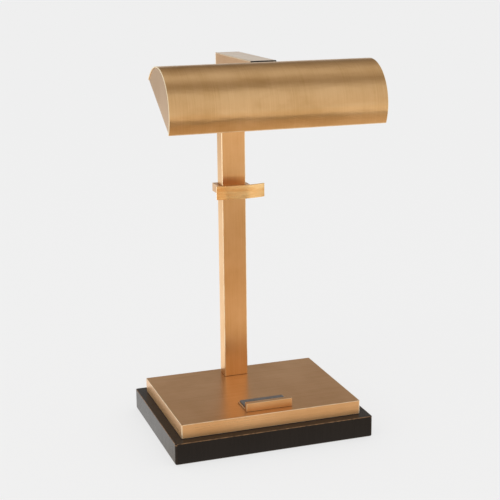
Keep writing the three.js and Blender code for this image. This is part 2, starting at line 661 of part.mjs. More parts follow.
function makeShade() {
  const skinShape = sector(SHADE_INNER_RADIUS, SHADE_RADIUS, SHADE_BACK_ANGLE, SHADE_FRONT_ANGLE);
  const skin = across(skinShape, -SHADE_HALF_WIDTH, SHADE_HALF_WIDTH, 48);
  const [inside, outside] = [SHADE_INNER_RADIUS - 4, SHADE_RADIUS + 4];
  const notchShape = sector(inside, outside, SHADE_BACK_ANGLE - 4, NOTCH_END_ANGLE);
  const notch = across(notchShape, -NOTCH_HALF_WIDTH, NOTCH_HALF_WIDTH, 8);
  add("shade_shell", cut(skin, notch), brass);

  const capRadius = SHADE_INNER_RADIUS - GAP;
  const capOuter = SHADE_HALF_WIDTH - SHADE_CAP_INSET;
  const capInner = capOuter - SHADE_THICKNESS;
  const capShape = discSegment(capRadius, SHADE_BACK_ANGLE + 0.5, SHADE_FRONT_ANGLE - 0.5);
  add("shade_cap_left", across(capShape, -capOuter, -capInner, 32), brass);
  add("shade_cap_right", across(capShape, capInner, capOuter, 32), brass);

  makeYoke();
}

const STRAP_HALF_ANGLE = 18;
const EAR_RADIUS = 11;

// Two ears on a strap that follows the inside of the shade.
function makeYoke() {
  const strapOuter = SHADE_INNER_RADIUS - GAP;
  const strapInner = strapOuter - EAR_THICKNESS;
  const strapFrom = SHADE_MIDDLE_ANGLE - STRAP_HALF_ANGLE;
  const strapTo = SHADE_MIDDLE_ANGLE + STRAP_HALF_ANGLE;
  const strapShape = sector(strapInner, strapOuter, strapFrom, strapTo);
  const strap = across(strapShape, -EAR_OUTER_X, EAR_OUTER_X, 10);
  const ear = (low, high) => {
    const plate = block(2 * EAR_RADIUS, high - low, 0, strapOuter - 0.8, 0, (low + high) / 2);
    plate.rotateZ(Math.PI / 2);
    plate.rotateX(radians(SHADE_MIDDLE_ANGLE - 90));
    plate.translate(0, SHADE_AXIS_Y, SHADE_AXIS_Z);
    const round = bar("x", EAR_RADIUS, low, high, [0, SHADE_AXIS_Y, SHADE_AXIS_Z], 28);
    return join(plate, round);
  };
  const leftEar = ear(-EAR_OUTER_X, -EAR_INNER_X);
  const rightEar = ear(EAR_INNER_X, EAR_OUTER_X);
  const bore = bar("x", PIVOT_RADIUS + GAP, -EAR_OUTER_X - 1, EAR_OUTER_X + 1, polar(0, 0));
  add("lamp_yoke", cut(join(strap, leftEar, rightEar), bore), brass);
}

const HOLDER_LENGTH = 40;
const HOLDER_COLLAR_RADIUS = 12.2;
const HOLDER_COLLAR_LENGTH = 14;
const HOLDER_RADIUS = 11;
const HOLDER_BORE = 8;
const HOLDER_FLOOR = 12;
const BULB_CAP_RADIUS = 7;
const BULB_TIP_RADIUS = 4;
const BULB_NECK_RADIUS = 6;
const BULB_SHOULDER = 7;
const BULB_RADIUS = 12.5;
const BULB_WALL = 0.8;
const BULB_STRAIGHT = 50; // from the cap to where the rounded end starts
const DOME_STEPS = 4;

// One lamp: a porcelain holder on the ear, and a tubular bulb that lies along the shade.
function makeLamp(side, sign) {
  const centre = polar(LAMP_AXIS_RADIUS, SHADE_MIDDLE_ANGLE);
  const holderStart = EAR_OUTER_X + GAP;
  const holderEnd = holderStart + HOLDER_LENGTH;
  const collarEnd = holderStart + HOLDER_COLLAR_LENGTH;
  const place = (profile) => {
    const points = profile.map(([radius, x]) => [radius, sign * x]);
    if (sign < 0) points.reverse();
    return turned("x", points, centre, 18);
  };
  const holder = [
    [0, holderStart],
    [HOLDER_COLLAR_RADIUS, holderStart],
    [HOLDER_COLLAR_RADIUS, collarEnd],
    [HOLDER_RADIUS, collarEnd + 1],
    [HOLDER_RADIUS, holderEnd],
    [HOLDER_BORE, holderEnd],
    [HOLDER_BORE, holderStart + HOLDER_FLOOR],
    [0, holderStart + HOLDER_FLOOR],
  ];
  add(`lamp_holder_${side}`, place(holder), porcelain);
  const capStart = holderStart + HOLDER_FLOOR + 2;
  const cap = [
    [0, capStart],
    [BULB_TIP_RADIUS, capStart],
    [BULB_CAP_RADIUS, capStart + 4],
    [BULB_CAP_RADIUS, holderEnd],
    [0, holderEnd],
  ];
  add(`bulb_cap_${side}`, place(cap), steel);

  const glassStart = holderEnd + GAP;
  const shoulderEnd = glassStart + BULB_SHOULDER;
  const straightEnd = glassStart + BULB_STRAIGHT;
  const innerRadius = BULB_RADIUS - BULB_WALL;
  const dome = (radius) => {
    const points = [];
    for (let step = 0; step < DOME_STEPS; step += 1) {
      const turn = (step / DOME_STEPS) * (Math.PI / 2);
      points.push([radius * Math.cos(turn), straightEnd + radius * Math.sin(turn)]);
    }
    return points;
  };
  const bulb = [
    [0, straightEnd + innerRadius],
    ...dome(innerRadius).reverse(),
    [innerRadius, shoulderEnd],
    [BULB_NECK_RADIUS, glassStart + 1],
    [BULB_NECK_RADIUS, glassStart],
    [BULB_CAP_RADIUS, glassStart],
    [BULB_RADIUS, shoulderEnd],
    ...dome(BULB_RADIUS),
    [0, straightEnd + BULB_RADIUS],
  ];
  add(`bulb_glass_${side}`, place(bulb), glass);
}

// ---------------------------------------------------------------- sliding clip

const CLIP_BACK = COLUMN_BACK + CLIP_CLEARANCE + CLIP_BACK_WALL;
const CLIP_FRONT = COLUMN_FRONT - CLIP_CLEARANCE - CLIP_FRONT_WALL;
const CLIP_Z = (CLIP_BOTTOM + CLIP_TOP) / 2;
const LIP_RADIUS = (CLIP_LIP_WIDTH ** 2 / 4 + CLIP_LIP_BOW ** 2) / (2 * CLIP_LIP_BOW);
const LIP_INNER_RADIUS = LIP_RADIUS - CLIP_LIP_THICKNESS;
const LIP_CENTRE_Y = CLIP_LIP_FRONT + LIP_RADIUS;
const LIP_STEPS = 20;
const PRESSURE_PAD_RADIUS = 4;
const PRESSURE_PAD_THICKNESS = 1.7;

// A bowed strip in X and Y, between two radii round the lip's centre.
function bowedStrip(inner, outer, halfWidth) {
  const shape = new THREE.Shape();
  const outerTurn = Math.asin(halfWidth / outer);
  const innerTurn = Math.asin(halfWidth / inner);
  shape.absarc(0, LIP_CENTRE_Y, outer, -Math.PI / 2 - outerTurn, -Math.PI / 2 + outerTurn, false);
  shape.absarc(0, LIP_CENTRE_Y, inner, -Math.PI / 2 + innerTurn, -Math.PI / 2 - innerTurn, true);
  shape.closePath();
  return shape;
}

function makeClip() {
  const width = 2 * CLIP_HALF_WIDTH;
  const length = CLIP_BACK - CLIP_FRONT;
  const middle = (CLIP_BACK + CLIP_FRONT) / 2;
  const collar = rise(rectangle(width, length, CLIP_CORNER, 0, middle), CLIP_BOTTOM, CLIP_TOP);
  const openingWidth = TUBE_WIDTH + 2 * CLIP_CLEARANCE;
  const openingDepth = TUBE_DEPTH + 2 * CLIP_CLEARANCE;
  const opening = block(openingWidth, openingDepth, CLIP_BOTTOM - 1, CLIP_TOP + 1, 0, COLUMN_Y);

  const bridgeBottom = CLIP_TOP - BRIDGE_THICKNESS;
  const bridgeFront = LIP_CENTRE_Y - LIP_INNER_RADIUS + GAP;
  const bridgeBack = CLIP_FRONT + 2;
  const bridgeY = (bridgeFront + bridgeBack) / 2;
  const bridge = block(width, bridgeBack - bridgeFront, bridgeBottom, CLIP_TOP, 0, bridgeY);
  const lipRoomShape = bowedStrip(LIP_INNER_RADIUS - GAP, LIP_RADIUS + 10, CLIP_LIP_WIDTH / 2 - 2);
  const lipRoom = rise(lipRoomShape, CLIP_BOTTOM - 1, CLIP_TOP + 1, LIP_STEPS);

  const place = [0, 0, CLIP_Z];
  const pocketBack = COLUMN_BACK + CLIP_CLEARANCE + PRESSURE_PAD_THICKNESS + GAP;
  const padPocket = bar("y", PRESSURE_PAD_RADIUS + GAP, COLUMN_BACK, pocketBack, place);
  const screwBore = bar("y", THUMB_SCREW_RADIUS + GAP, COLUMN_BACK, CLIP_BACK + 1, place);
  const carriage = cut(join(collar, bridge), opening, lipRoom, padPocket, screwBore);
  add("clip_carriage", carriage, brass);

  const lip = bowedStrip(LIP_INNER_RADIUS, LIP_RADIUS, CLIP_LIP_WIDTH / 2);
  add("clip_lip", rise(lip, CLIP_LIP_BOTTOM, CLIP_LIP_TOP, LIP_STEPS), brass);

  const padTop = bridgeBottom - GAP;
  const padOuter = LIP_INNER_RADIUS - GAP;
  const lipPad = bowedStrip(padOuter - PAD_THICKNESS, padOuter, CLIP_LIP_WIDTH / 2 - PAD_MARGIN);
  add("clip_lip_pad", rise(lipPad, CLIP_LIP_BOTTOM + 1, padTop, LIP_STEPS), felt);
  add("clip_bridge_pad", block(...BRIDGE_PAD_SIZE, padTop - PAD_THICKNESS, padTop, 0, BRIDGE_PAD_Y), felt);

  makeThumbScrew();
}

function makeThumbScrew() {
  const place = [0, 0, CLIP_Z];
  const padFront = COLUMN_BACK + GAP;
  const padBack = padFront + PRESSURE_PAD_THICKNESS;
  add("pressure_pad", bar("y", PRESSURE_PAD_RADIUS, padFront, padBack, place, 20), felt);
  const neckStart = CLIP_BACK + GAP;
  const knobFront = CLIP_BACK + 2;
  const knobBack = knobFront + KNOB_LENGTH;
  const profile = [
    [0, padBack + GAP],
    [THUMB_SCREW_RADIUS, padBack + GAP],
    [THUMB_SCREW_RADIUS, neckStart],
    [KNOB_NECK_RADIUS, neckStart],
    [KNOB_NECK_RADIUS, knobFront],
    [KNOB_RADIUS - KNOB_CHAMFER, knobFront],
    [KNOB_RADIUS, knobFront + KNOB_CHAMFER],
    [KNOB_RADIUS, knobBack - KNOB_CHAMFER],
    [KNOB_RADIUS - KNOB_CHAMFER, knobBack],
    [0, knobBack],
  ];
  add("thumb_screw", turned("y", profile, place, 28), brass);
}

// ---------------------------------------------------------------- cable inside the stand

// It runs from the terminal block through the threaded tube, the column and the arm.
function makeCable() {
  const route = [
    [-22.4, 92, 16],
    [-17, 92, 14.5],
    [-6, 86, 9.5],
    [-1, COLUMN_Y + 2.5, 8.8],
    [0, COLUMN_Y, 13],
    [0, COLUMN_Y, 24],
    [0, COLUMN_Y, 90],
    [0, COLUMN_Y, 300],
    [0, COLUMN_Y, 500],
    [0, COLUMN_Y, 540],
    [0, COLUMN_Y - 3, 547],
    [0, COLUMN_Y - 11, 550],
    [0, 20, 550],
    [0, -62, 550],
  ];
  const points = route.map(([x, y, z]) => new THREE.Vector3(x, y, z));
  const path = new THREE.CatmullRomCurve3(points, false, "centripetal");
  const section = new THREE.Shape();
  section.absarc(0, 0, CABLE_RADIUS, 0, Math.PI * 2, false);
  const options = { steps: 64, bevelEnabled: false, curveSegments: 3, extrudePath: path };
  add("lamp_cable", new THREE.ExtrudeGeometry(section, options), cableJacket);
}

// ---------------------------------------------------------------- the whole stand

makeBase();
makePlinth();
makeLedge();
makeColumn();
makeNipple();
makeArm();
makeSwivel();
makeShade();
makeLamp("left", -1);
makeLamp("right", 1);
makeClip();
makeCable();

export default part;
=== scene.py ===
"""A lighted book stand: brushed antique brass on a black base, with a half-round lamp shade.

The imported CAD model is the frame. Each CAD node is stood for by a finer piece that is built here
from the node's own box or mesh. Metres, +Z up, and the front faces -Y.
"""

import functools
import json
import math
from typing import NamedTuple

import bmesh
import bpy
from mathutils import Matrix, Vector


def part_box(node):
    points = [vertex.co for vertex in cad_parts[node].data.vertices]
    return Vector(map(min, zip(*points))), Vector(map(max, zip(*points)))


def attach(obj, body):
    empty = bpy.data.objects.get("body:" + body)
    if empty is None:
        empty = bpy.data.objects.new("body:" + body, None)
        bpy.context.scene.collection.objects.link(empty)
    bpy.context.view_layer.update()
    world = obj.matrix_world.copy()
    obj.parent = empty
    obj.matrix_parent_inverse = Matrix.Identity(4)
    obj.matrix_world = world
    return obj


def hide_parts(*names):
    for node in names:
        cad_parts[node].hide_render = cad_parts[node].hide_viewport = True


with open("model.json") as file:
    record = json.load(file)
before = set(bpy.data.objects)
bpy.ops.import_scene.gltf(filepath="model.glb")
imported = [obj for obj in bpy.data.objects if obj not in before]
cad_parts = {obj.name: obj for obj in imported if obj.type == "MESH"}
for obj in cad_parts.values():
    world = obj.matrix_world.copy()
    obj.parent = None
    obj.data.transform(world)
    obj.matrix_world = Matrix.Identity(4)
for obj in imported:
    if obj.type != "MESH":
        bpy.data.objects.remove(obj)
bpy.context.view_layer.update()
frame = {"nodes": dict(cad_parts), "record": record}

MM = 0.001
BODIES = {
    node: body
    for body, nodes in frame["record"]["behaviour"]["bodies"].items()
    for node in nodes
}


def add_object(name, data):
    """A new object in the scene, with a mesh, a camera or a light as its data."""
    thing = bpy.data.objects.new(name, data)
    bpy.context.scene.collection.objects.link(thing)
    return thing


def mesh_of(shape, name):
    """Turns a finished shape into a mesh."""
    mesh = bpy.data.meshes.new(name)
    shape.to_mesh(mesh)
    shape.free()
    return mesh


def add_node(tree, kind, inputs=None, **settings):
    """A new node; each of its inputs is linked to another node's output or set to a constant."""
    node = tree.nodes.new(kind)
    for name, setting in settings.items():
        setattr(node, name, setting)
    for socket, value in (inputs or {}).items():
        if isinstance(value, bpy.types.NodeSocket):
            tree.links.new(value, node.inputs[socket])
        else:
            node.inputs[socket].default_value = value
    return node


# ---------------- camera, floor and light


def make_camera():
    """Sees the stand as the photograph does: from left of its front and a little above its arm."""
    place = Vector((-0.5474, -1.6132, 0.7036))
    yaw, pitch, roll = (math.radians(angle) for angle in (18.82, 14.14, -0.6))
    ahead = math.cos(pitch)
    forward = Vector((math.sin(yaw) * ahead, math.cos(yaw) * ahead, -math.sin(pitch)))
    level = Vector((math.cos(yaw), -math.sin(yaw), 0))
    upright = level.cross(forward)
    right = math.cos(roll) * level + math.sin(roll) * upright
    up = math.cos(roll) * upright - math.sin(roll) * level
    data = bpy.data.cameras.new("camera")
    data.sensor_width = 36
    data.lens = 84.71
    data.clip_start = 0.05
    data.clip_end = 200
    camera = add_object("camera", data)
    turn = Matrix((right, up, -forward)).transposed().to_4x4()
    camera.matrix_world = Matrix.Translation(place) @ turn
    bpy.context.scene.camera = camera


FLOOR_SIDES = (-60, 60)
FLOOR_HEIGHT = -0.2 * MM
FLOOR_GREY = 0.198  # the part of the floor's brightness that shadows can darken
BACKDROP = 0.863  # how bright the pale floor and the pale room look

# The studio as the brass mirrors it, from the front horizon up over the top and down the back:
# (angle above the front horizon, brightness, warmth). Bright stretches are softboxes.
STUDIO_RING = (
    (-180, 0.45, 0.3),
    (-170, 0.55, 0.1),
    (-60, 0.60, 0.0),
    (0, 0.70, 0.55),
    (15, 0.71, 0.45),
    (44, 0.70, 0.35),
    (54, 0.51, 0.5),
    (65, 0.29, 0.8),
    (78, 0.40, 0.7),
    (95, 0.61, 0.4),
    (107, 0.60, 0.4),
    (122, 0.40, 0.6),
    (140, 0.26, 0.8),
    (156, 0.18, 0.8),
    (161, 0.30, 0.5),
    (166, 0.72, 0.0),
    (172, 0.98, 0.0),
    (177, 0.80, 0.0),
    (180, 0.45, 0.3),
)


def make_room():
    """An even pale room for eyes and soft light, and a ring of softboxes for mirrored light."""
    world = bpy.data.worlds.new("room")
    bpy.context.scene.world = world
    world.use_nodes = True
    tree = world.node_tree
    tree.nodes.clear()
    direction = add_node(tree, "ShaderNodeTexCoord").outputs["Generated"]
    along = add_node(tree, "ShaderNodeSeparateXYZ", {0: direction}).outputs
    forward = add_node(tree, "ShaderNodeMath", {0: along["Y"], 1: -1}, operation="MULTIPLY")
    sides = {0: along["Z"], 1: forward.outputs[0]}
    angle = add_node(tree, "ShaderNodeMath", sides, operation="ARCTAN2").outputs[0]
    whole_turn = {"Value": angle, "From Min": -math.pi, "From Max": math.pi}
    turn = add_node(tree, "ShaderNodeMapRange", whole_turn).outputs[0]
    ring = add_node(tree, "ShaderNodeValToRGB", {0: turn})
    fill_ramp(ring, [((degrees + 180) / 360, *light) for degrees, *light in STUDIO_RING])
    mirrored = add_node(tree, "ShaderNodeBackground", {"Color": ring.outputs[0]}).outputs[0]
    pale = (BACKDROP, BACKDROP, BACKDROP, 1)
    even = add_node(tree, "ShaderNodeBackground", {"Color": pale}).outputs[0]
    is_mirrored = add_node(tree, "ShaderNodeLightPath").outputs["Is Glossy Ray"]
    mix = add_node(tree, "ShaderNodeMixShader", {0: is_mirrored, 1: even, 2: mirrored})
    add_node(tree, "ShaderNodeOutputWorld", {"Surface": mix.outputs[0]})


def add_level_sheet(name, sides, ends, height):
    """A level rectangle, from side to side along X and from end to end along Y."""
    left, right = sides
    near, far = ends
    shape = bmesh.new()
    corners = ((left, near), (right, near), (right, far), (left, far))
    shape.faces.new([shape.verts.new((x, y, height)) for x, y in corners])
    return add_object(name, mesh_of(shape, name))


def make_floor():
    """A pale floor that mostly glows evenly and takes only a faint shadow."""
    floor = add_level_sheet("floor", FLOOR_SIDES, FLOOR_SIDES, FLOOR_HEIGHT)
    paper = Finish(
        "floor_paper",
        Roughness=1.0,
        Base_Color=(FLOOR_GREY, FLOOR_GREY, FLOOR_GREY, 1),
        Specular_IOR_Level=0,
        Emission_Color=(1, 1, 1, 1),
        Emission_Strength=BACKDROP * (1 - FLOOR_GREY),
    )
    floor.data.materials.append(paper.material)


# The floor as the brass mirrors it: (place along Y, brightness, warmth).
FRONT_CARD = (
    (-8.0, 0.60, 0.4),
    (-3.0, 0.80, 0.45),
    (-2.1, 0.86, 0.40),
    (-1.7, 1.05, 0.3),
    (-1.05, 0.85, 0.4),
    (-0.95, 0.50, 0.8),
    (-0.70, 0.62, 0.65),
    (-0.35, 0.76, 0.6),
)
BACK_CARD = (
    (-0.35, 0.74, 0.75),
    (-0.15, 0.80, 0.5),
    (0.0, 1.08, 0.1),
    (0.8, 1.05, -0.1),
    (2.6, 0.80, 0.1),
    (4.2, 0.45, 0.2),
    (9.0, 0.22, 0.4),
)
LEFT_SOFTBOX = (
    (-3.0, 1.7, 0.15),
    (1.5, 1.7, 0.15),
)
STRIP_CARD = (
    (-1.47, 1.02, 0.35),
    (-1.05, 0.85, 0.45),
)
WHITE = (1.0, 1.0, 1.0)
PALE = (1.05, 1.03, 0.98)
WARM = (0.80, 0.62, 0.45)
DARK = (0.02, 0.015, 0.01)
CARD_SIDES = (-6, 6)  # where a card starts and ends along X
CARD_FADE = (-0.5, 1.2)
STRIP_SIDES = (-0.15, 1.7)
STRIP_FADE = (0.60, 0.84)
LEFT_SOFTBOX_SIDES = (-6.0, -1.3)
LOWER_CARD = 0.1 * MM  # heights above Z = 0
UPPER_CARD = 0.3 * MM


def make_mirror_card(name, stops, left_tint, sides=CARD_SIDES, fade=CARD_FADE, height=LOWER_CARD):
    """A floor that only mirrored rays meet.

    left_tint colours its left side, and between two places along X it fades to pale.
    """
    near, far = stops[0][0], stops[-1][0]
    card = add_level_sheet(name, sides, (near, far), height)
    card.visible_camera = False
    card.visible_diffuse = False
    card.visible_shadow = False
    card.visible_transmission = False
    glow = Finish(name, Base_Color=(0, 0, 0, 1), Specular_IOR_Level=0, Emission_Strength=1)
    ramp = glow.add("ShaderNodeValToRGB", {0: glow.spread(glow.place_along("Y"), near, far)})
    fill_ramp(ramp, [((y - near) / (far - near), *light) for y, *light in stops])
    tint = glow.blend(glow.spread(glow.place_along("X"), *fade), left_tint, PALE)
    glow.set("Emission Color", glow.blend(1, ramp.outputs[0], tint, "MULTIPLY"))
    card.data.materials.append(glow.material)


def fill_ramp(ramp, stops):
    """Sets a ramp's stops: (position from 0 to 1, brightness, warmth)."""
    elements = ramp.color_ramp.elements
    for index, (position, brightness, warmth) in enumerate(stops):
        stop = elements[index] if index < 2 else elements.new(position)
        stop.position = position
        green = brightness * (1 - 0.28 * warmth)
        blue = brightness * (1 - 0.55 * warmth)
        stop.color = (brightness, green, blue, 1)


def make_key_light():
    """One large softbox, high on the left of the front."""
    data = bpy.data.lights.new("key", "AREA")
    data.shape = "RECTANGLE"
    data.size = 1.6
    data.size_y = 1.2
    data.energy = 6
    data.color = (1, 0.97, 0.93)
    light = add_object("key", data)
    light.location = (-1.3, -1.2, 2.3)
    aim = Vector((0, 0, 0.25)) - light.location
    light.rotation_mode = "QUATERNION"
    light.rotation_quaternion = aim.to_track_quat("-Z", "Y")
    light.visible_glossy = False


# ---------------- materials

WEAR = "edge_wear"  # the attribute that marks the faces of rounded edges


class Finish:
    """A material on one Principled shader, with short calls for the nodes that vary it."""

    def __init__(self, name, **sockets):
        """sockets are constants of the shader, named with _ for each space."""
        self.material = bpy.data.materials.new(name)
        self.material.use_nodes = True
        self.tree = self.material.node_tree
        self.shader = self.tree.nodes["Principled BSDF"]
        for socket, value in sockets.items():
            self.shader.inputs[socket.replace("_", " ")].default_value = value
        self.place = self.add("ShaderNodeTexCoord").outputs["Object"]

    def add(self, kind, inputs=None, **settings):
        return add_node(self.tree, kind, inputs, **settings)

    def place_along(self, axis):
        """How far along one of the object's own axes a point lies."""
        return self.add("ShaderNodeSeparateXYZ", {0: self.place}).outputs[axis]

    def noise(self, scale, stretch, detail):
        """Noise in the object's own space; scale is per metre, and stretch slows it by axis."""
        mapping = self.add("ShaderNodeMapping", {"Vector": self.place, "Scale": stretch})
        inputs = {"Vector": mapping.outputs[0], "Scale": scale, "Detail": detail}
        return self.add("ShaderNodeTexNoise", inputs).outputs["Fac"]

    def spread(self, value, low, high, to_low=0.0, to_high=1.0):
        """Maps value from the range low..high to another range, and holds it there."""
        inputs = {"Value": value, "From Min": low, "From Max": high}
        inputs |= {"To Min": to_low, "To Max": to_high}
        return self.add("ShaderNodeMapRange", inputs).outputs[0]

    def sum(self, *weighted):
        """The sum of (value, weight) pairs."""
        total = 0
        for value, weight in weighted:
            inputs = {0: value, 1: weight, 2: total}
            total = self.add("ShaderNodeMath", inputs, operation="MULTIPLY_ADD").outputs[0]
        return total

    def product(self, first, second):
        inputs = {0: first, 1: second}
        return self.add("ShaderNodeMath", inputs, operation="MULTIPLY").outputs[0]

    def blend(self, factor, first, second, how="MIX"):
        """Mixes two colours; each is a colour or the output of another node.

        A Mix node's inputs 6 and 7 and its output 2 are the ones for colours.
        """
        inputs = {"Factor": factor}
        for socket, colour in ((6, first), (7, second)):
            inputs[socket] = (*colour, 1) if isinstance(colour, tuple) else colour
        return self.add("ShaderNodeMix", inputs, data_type="RGBA", blend_type=how).outputs[2]

    def wear(self, patches):
        """How worn a place is: 1 on narrow rounded edges, broken up by noise."""
        mark = self.add("ShaderNodeAttribute", attribute_name=WEAR)
        return self.product(mark.outputs["Fac"], patches)

    def set(self, socket, value):
        """Lets a node's output vary one of the shader's sockets."""
        self.tree.links.new(value, self.shader.inputs[socket])

    def bump(self, height, strength, distance):
        inputs = {"Height": height, "Strength": strength, "Distance": distance}
        self.set("Normal", self.add("ShaderNodeBump", inputs).outputs[0])

    def tangent(self, axis):
        """Turns the anisotropic gloss with the brushing."""
        node = self.add("ShaderNodeTangent", direction_type="RADIAL", axis=axis)
        self.set("Tangent", node.outputs[0])


# Along which axis each grain runs: slow along it and fast across it. The arc grain runs round X.
SLOW = 0.012
GRAINS = {
    "x": (SLOW, 1, 1),
    "y": (1, SLOW, 1),
    "z": (1, 1, SLOW),
    "arc": (1, SLOW, SLOW),
}

EVEN = (1, 1, 1)  # noise that isn't stretched


class Tone(NamedTuple):
    """One brass: how light and how rough its brushing is, and what else its surface shows."""

    light: tuple
    middle: tuple
    dark: tuple
    smoothest: float = 0.28
    roughest: float = 0.36
    metallic: float = 1.0  # less where it scatters light more evenly
    stroke_scale: float = 190
    patches: tuple = ()  # scale and stretch of its lighter and darker rubbed patches
    waves: float = 0.0  # how far it stands out of true


BRASS_TONES = {
    "sheet": Tone(
        light=(0.88, 0.62, 0.34),
        middle=(0.79, 0.53, 0.26),
        dark=(0.60, 0.37, 0.15),
        stroke_scale=70,
        patches=(22, (0.5, 1, 1)),
        waves=1.1 * MM,
    ),
    # The end tone is greyer and paler than the sheet's: a painted reflection of the neutral light
    # that the caps' faces mirror.
    "end": Tone(light=(0.82, 0.61, 0.42), middle=(0.76, 0.55, 0.36), dark=(0.62, 0.42, 0.25)),
    # The edge tone is a painted highlight: pale brass, only a quarter metallic, so that the shade's
    # end rims show a bright line whatever they mirror.
    "edge": Tone(
        light=(1.00, 0.86, 0.62),
        middle=(0.97, 0.81, 0.55),
        dark=(0.88, 0.70, 0.44),
        smoothest=0.40,
        roughest=0.46,
        metallic=0.25,
    ),
    "tube": Tone(light=(0.93, 0.60, 0.31), middle=(0.87, 0.53, 0.245), dark=(0.70, 0.39, 0.14)),
    # The arm tone is paler and greyer: a painted reflection of the pale room that the arm's upper
    # face mirrors at a grazing angle; its lower face takes the same tone.
    "arm": Tone(light=(0.87, 0.72, 0.55), middle=(0.82, 0.66, 0.48), dark=(0.68, 0.50, 0.32)),
    "plate": Tone(light=(0.84, 0.53, 0.28), middle=(0.76, 0.45, 0.21), dark=(0.60, 0.32, 0.12)),
    "slab": Tone(
        light=(0.83, 0.49, 0.23),
        middle=(0.75, 0.42, 0.18),
        dark=(0.58, 0.29, 0.10),
        smoothest=0.26,
        roughest=0.34,
        metallic=0.5,
    ),
    # The lip tone is far brighter than the other brass: a painted highlight for the bright light
    # the lip mirrors; its streaky patches are its own brushing.
    "lip": Tone(
        light=(1.00, 0.78, 0.44),
        middle=(0.97, 0.63, 0.28),
        dark=(0.84, 0.44, 0.14),
        smoothest=0.13,
        roughest=0.19,
        patches=(260, (0.08, 0.5, 1)),
    ),
}
RUBBED_BRASS = (0.97, 0.80, 0.56)
FINE_RELIEF = 0.1 * MM  # how deep the finest surface texture is


@functools.cache
def brass(grain, tone="plate"):
    """Brushed antique brass: fine lines along the grain, cloudy patina and rubbed edges."""
    look = BRASS_TONES[tone]
    metal = Finish(f"brass_{tone}_{grain}", Metallic=look.metallic, Anisotropic=0.55)
    stretch = GRAINS[grain]
    hair = metal.noise(2600, stretch, 2)
    lines = metal.noise(700, stretch, 3)
    strokes = metal.noise(look.stroke_scale, stretch, 3)
    clouds = metal.noise(16, EVEN, 4)
    smudges = metal.noise(42, EVEN, 3)
    streaks = metal.sum((hair, 0.42), (lines, 0.36), (strokes, 0.22))
    patina = metal.spread(metal.sum((clouds, 0.6), (smudges, 0.4)), 0.38, 0.70, 0, 0.6)
    tarnish = metal.spread(metal.sum((streaks, 0.55), (clouds, 0.45)), 0.36, 0.66)
    base = metal.blend(tarnish, look.light, look.middle)
    aged = metal.blend(metal.product(patina, metal.spread(streaks, 0.35, 0.65)), base, look.dark)
    worn = metal.wear(metal.spread(metal.noise(90, EVEN, 3), 0.3, 0.6, 0.45, 1))
    if look.patches:
        patches = metal.noise(*look.patches, 3)
        aged = metal.blend(metal.spread(patches, 0.50, 0.68, 0, 0.55), aged, look.light)
        aged = metal.blend(metal.spread(patches, 0.50, 0.34, 0, 0.5), aged, look.dark)
    metal.set("Base Color", metal.blend(worn, aged, RUBBED_BRASS))
    metal.set("Roughness", metal.spread(streaks, 0.35, 0.65, look.smoothest, look.roughest))
    if look.waves:
        waves = metal.noise(30, (0.45, 1, 1), 3)
        metal.bump(metal.sum((streaks, 0.008), (waves, 1)), 1, look.waves)
    else:
        metal.bump(streaks, 0.12, FINE_RELIEF)
    metal.tangent("X" if grain == "arc" else grain.upper())
    if grain == "arc":
        metal.shader.inputs["Anisotropic Rotation"].default_value = 0.25
    return metal.material


BROWN_EDGES_FROM = 29 * MM  # the base's edges are brown above this height


@functools.cache
def black_base():
    """Bronze-black satin lacquer over a brushed block, brown along its upper edges."""
    coat = Finish("black_base_satin", IOR=1.35, Sheen_Weight=0.08, Sheen_Roughness=0.35)
    texture = coat.noise(420, (1, 1, 0.05), 4)
    grain = coat.noise(1500, EVEN, 2)
    clouds = coat.noise(14, EVEN, 4)
    skin = coat.sum((texture, 0.6), (grain, 0.4))
    depth = coat.spread(coat.sum((texture, 0.5), (clouds, 0.5)), 0.35, 0.65)
    body = coat.blend(depth, (0.0042, 0.0024, 0.0018), (0.0084, 0.0052, 0.0040))
    upper = coat.spread(coat.place_along("Z"), BROWN_EDGES_FROM, BROWN_EDGES_FROM + 2 * MM, 0.05, 1)
    # Noise breaks up the brown on the upper edges.
    rubbed = coat.spread(coat.noise(120, EVEN, 4), 0.35, 0.62, 0.25, 1)
    worn = coat.wear(coat.product(rubbed, upper))
    coat.set("Base Color", coat.blend(worn, body, (0.24, 0.13, 0.06)))
    coat.set("Roughness", coat.spread(skin, 0.3, 0.7, 0.24, 0.38))
    coat.bump(skin, 0.12, FINE_RELIEF)
    return coat.material


@functools.cache
def steel(grain):
    """Satin zinc-plated steel with faint turning lines."""
    metal = Finish(f"steel_{grain}", Metallic=1.0, Anisotropic=0.3)
    lines = metal.noise(900, GRAINS[grain], 3)
    clouds = metal.noise(60, EVEN, 3)
    base = metal.blend(metal.spread(clouds, 0.35, 0.65), (0.58, 0.57, 0.55), (0.46, 0.45, 0.43))
    worn = metal.wear(metal.spread(lines, 0.3, 0.6))
    metal.set("Base Color", metal.blend(worn, base, (0.74, 0.73, 0.71)))
    metal.set("Roughness", metal.spread(lines, 0.3, 0.7, 0.28, 0.42))
    metal.bump(lines, 0.15, FINE_RELIEF)
    metal.tangent(grain.upper())
    return metal.material


@functools.cache
def plastic(name, colour, lighter, roughness):
    """Moulded plastic or rubber with a fine eroded skin."""
    skin = Finish(name)
    pits = skin.noise(2200, EVEN, 3)
    clouds = skin.noise(50, EVEN, 3)
    skin.set("Base Color", skin.blend(skin.spread(clouds, 0.35, 0.65), colour, lighter))
    skin.set("Roughness", skin.spread(pits, 0.3, 0.7, roughness - 0.06, roughness + 0.08))
    skin.bump(pits, 0.3, FINE_RELIEF)
    return skin.material


def black_plastic():
    return plastic("black_plastic", (0.014, 0.013, 0.012), (0.022, 0.020, 0.018), 0.42)


def rubber():
    return plastic("black_rubber", (0.018, 0.018, 0.018), (0.028, 0.027, 0.026), 0.75)


def cable_jacket():
    return plastic("cable_jacket", (0.030, 0.022, 0.017), (0.042, 0.032, 0.025), 0.5)


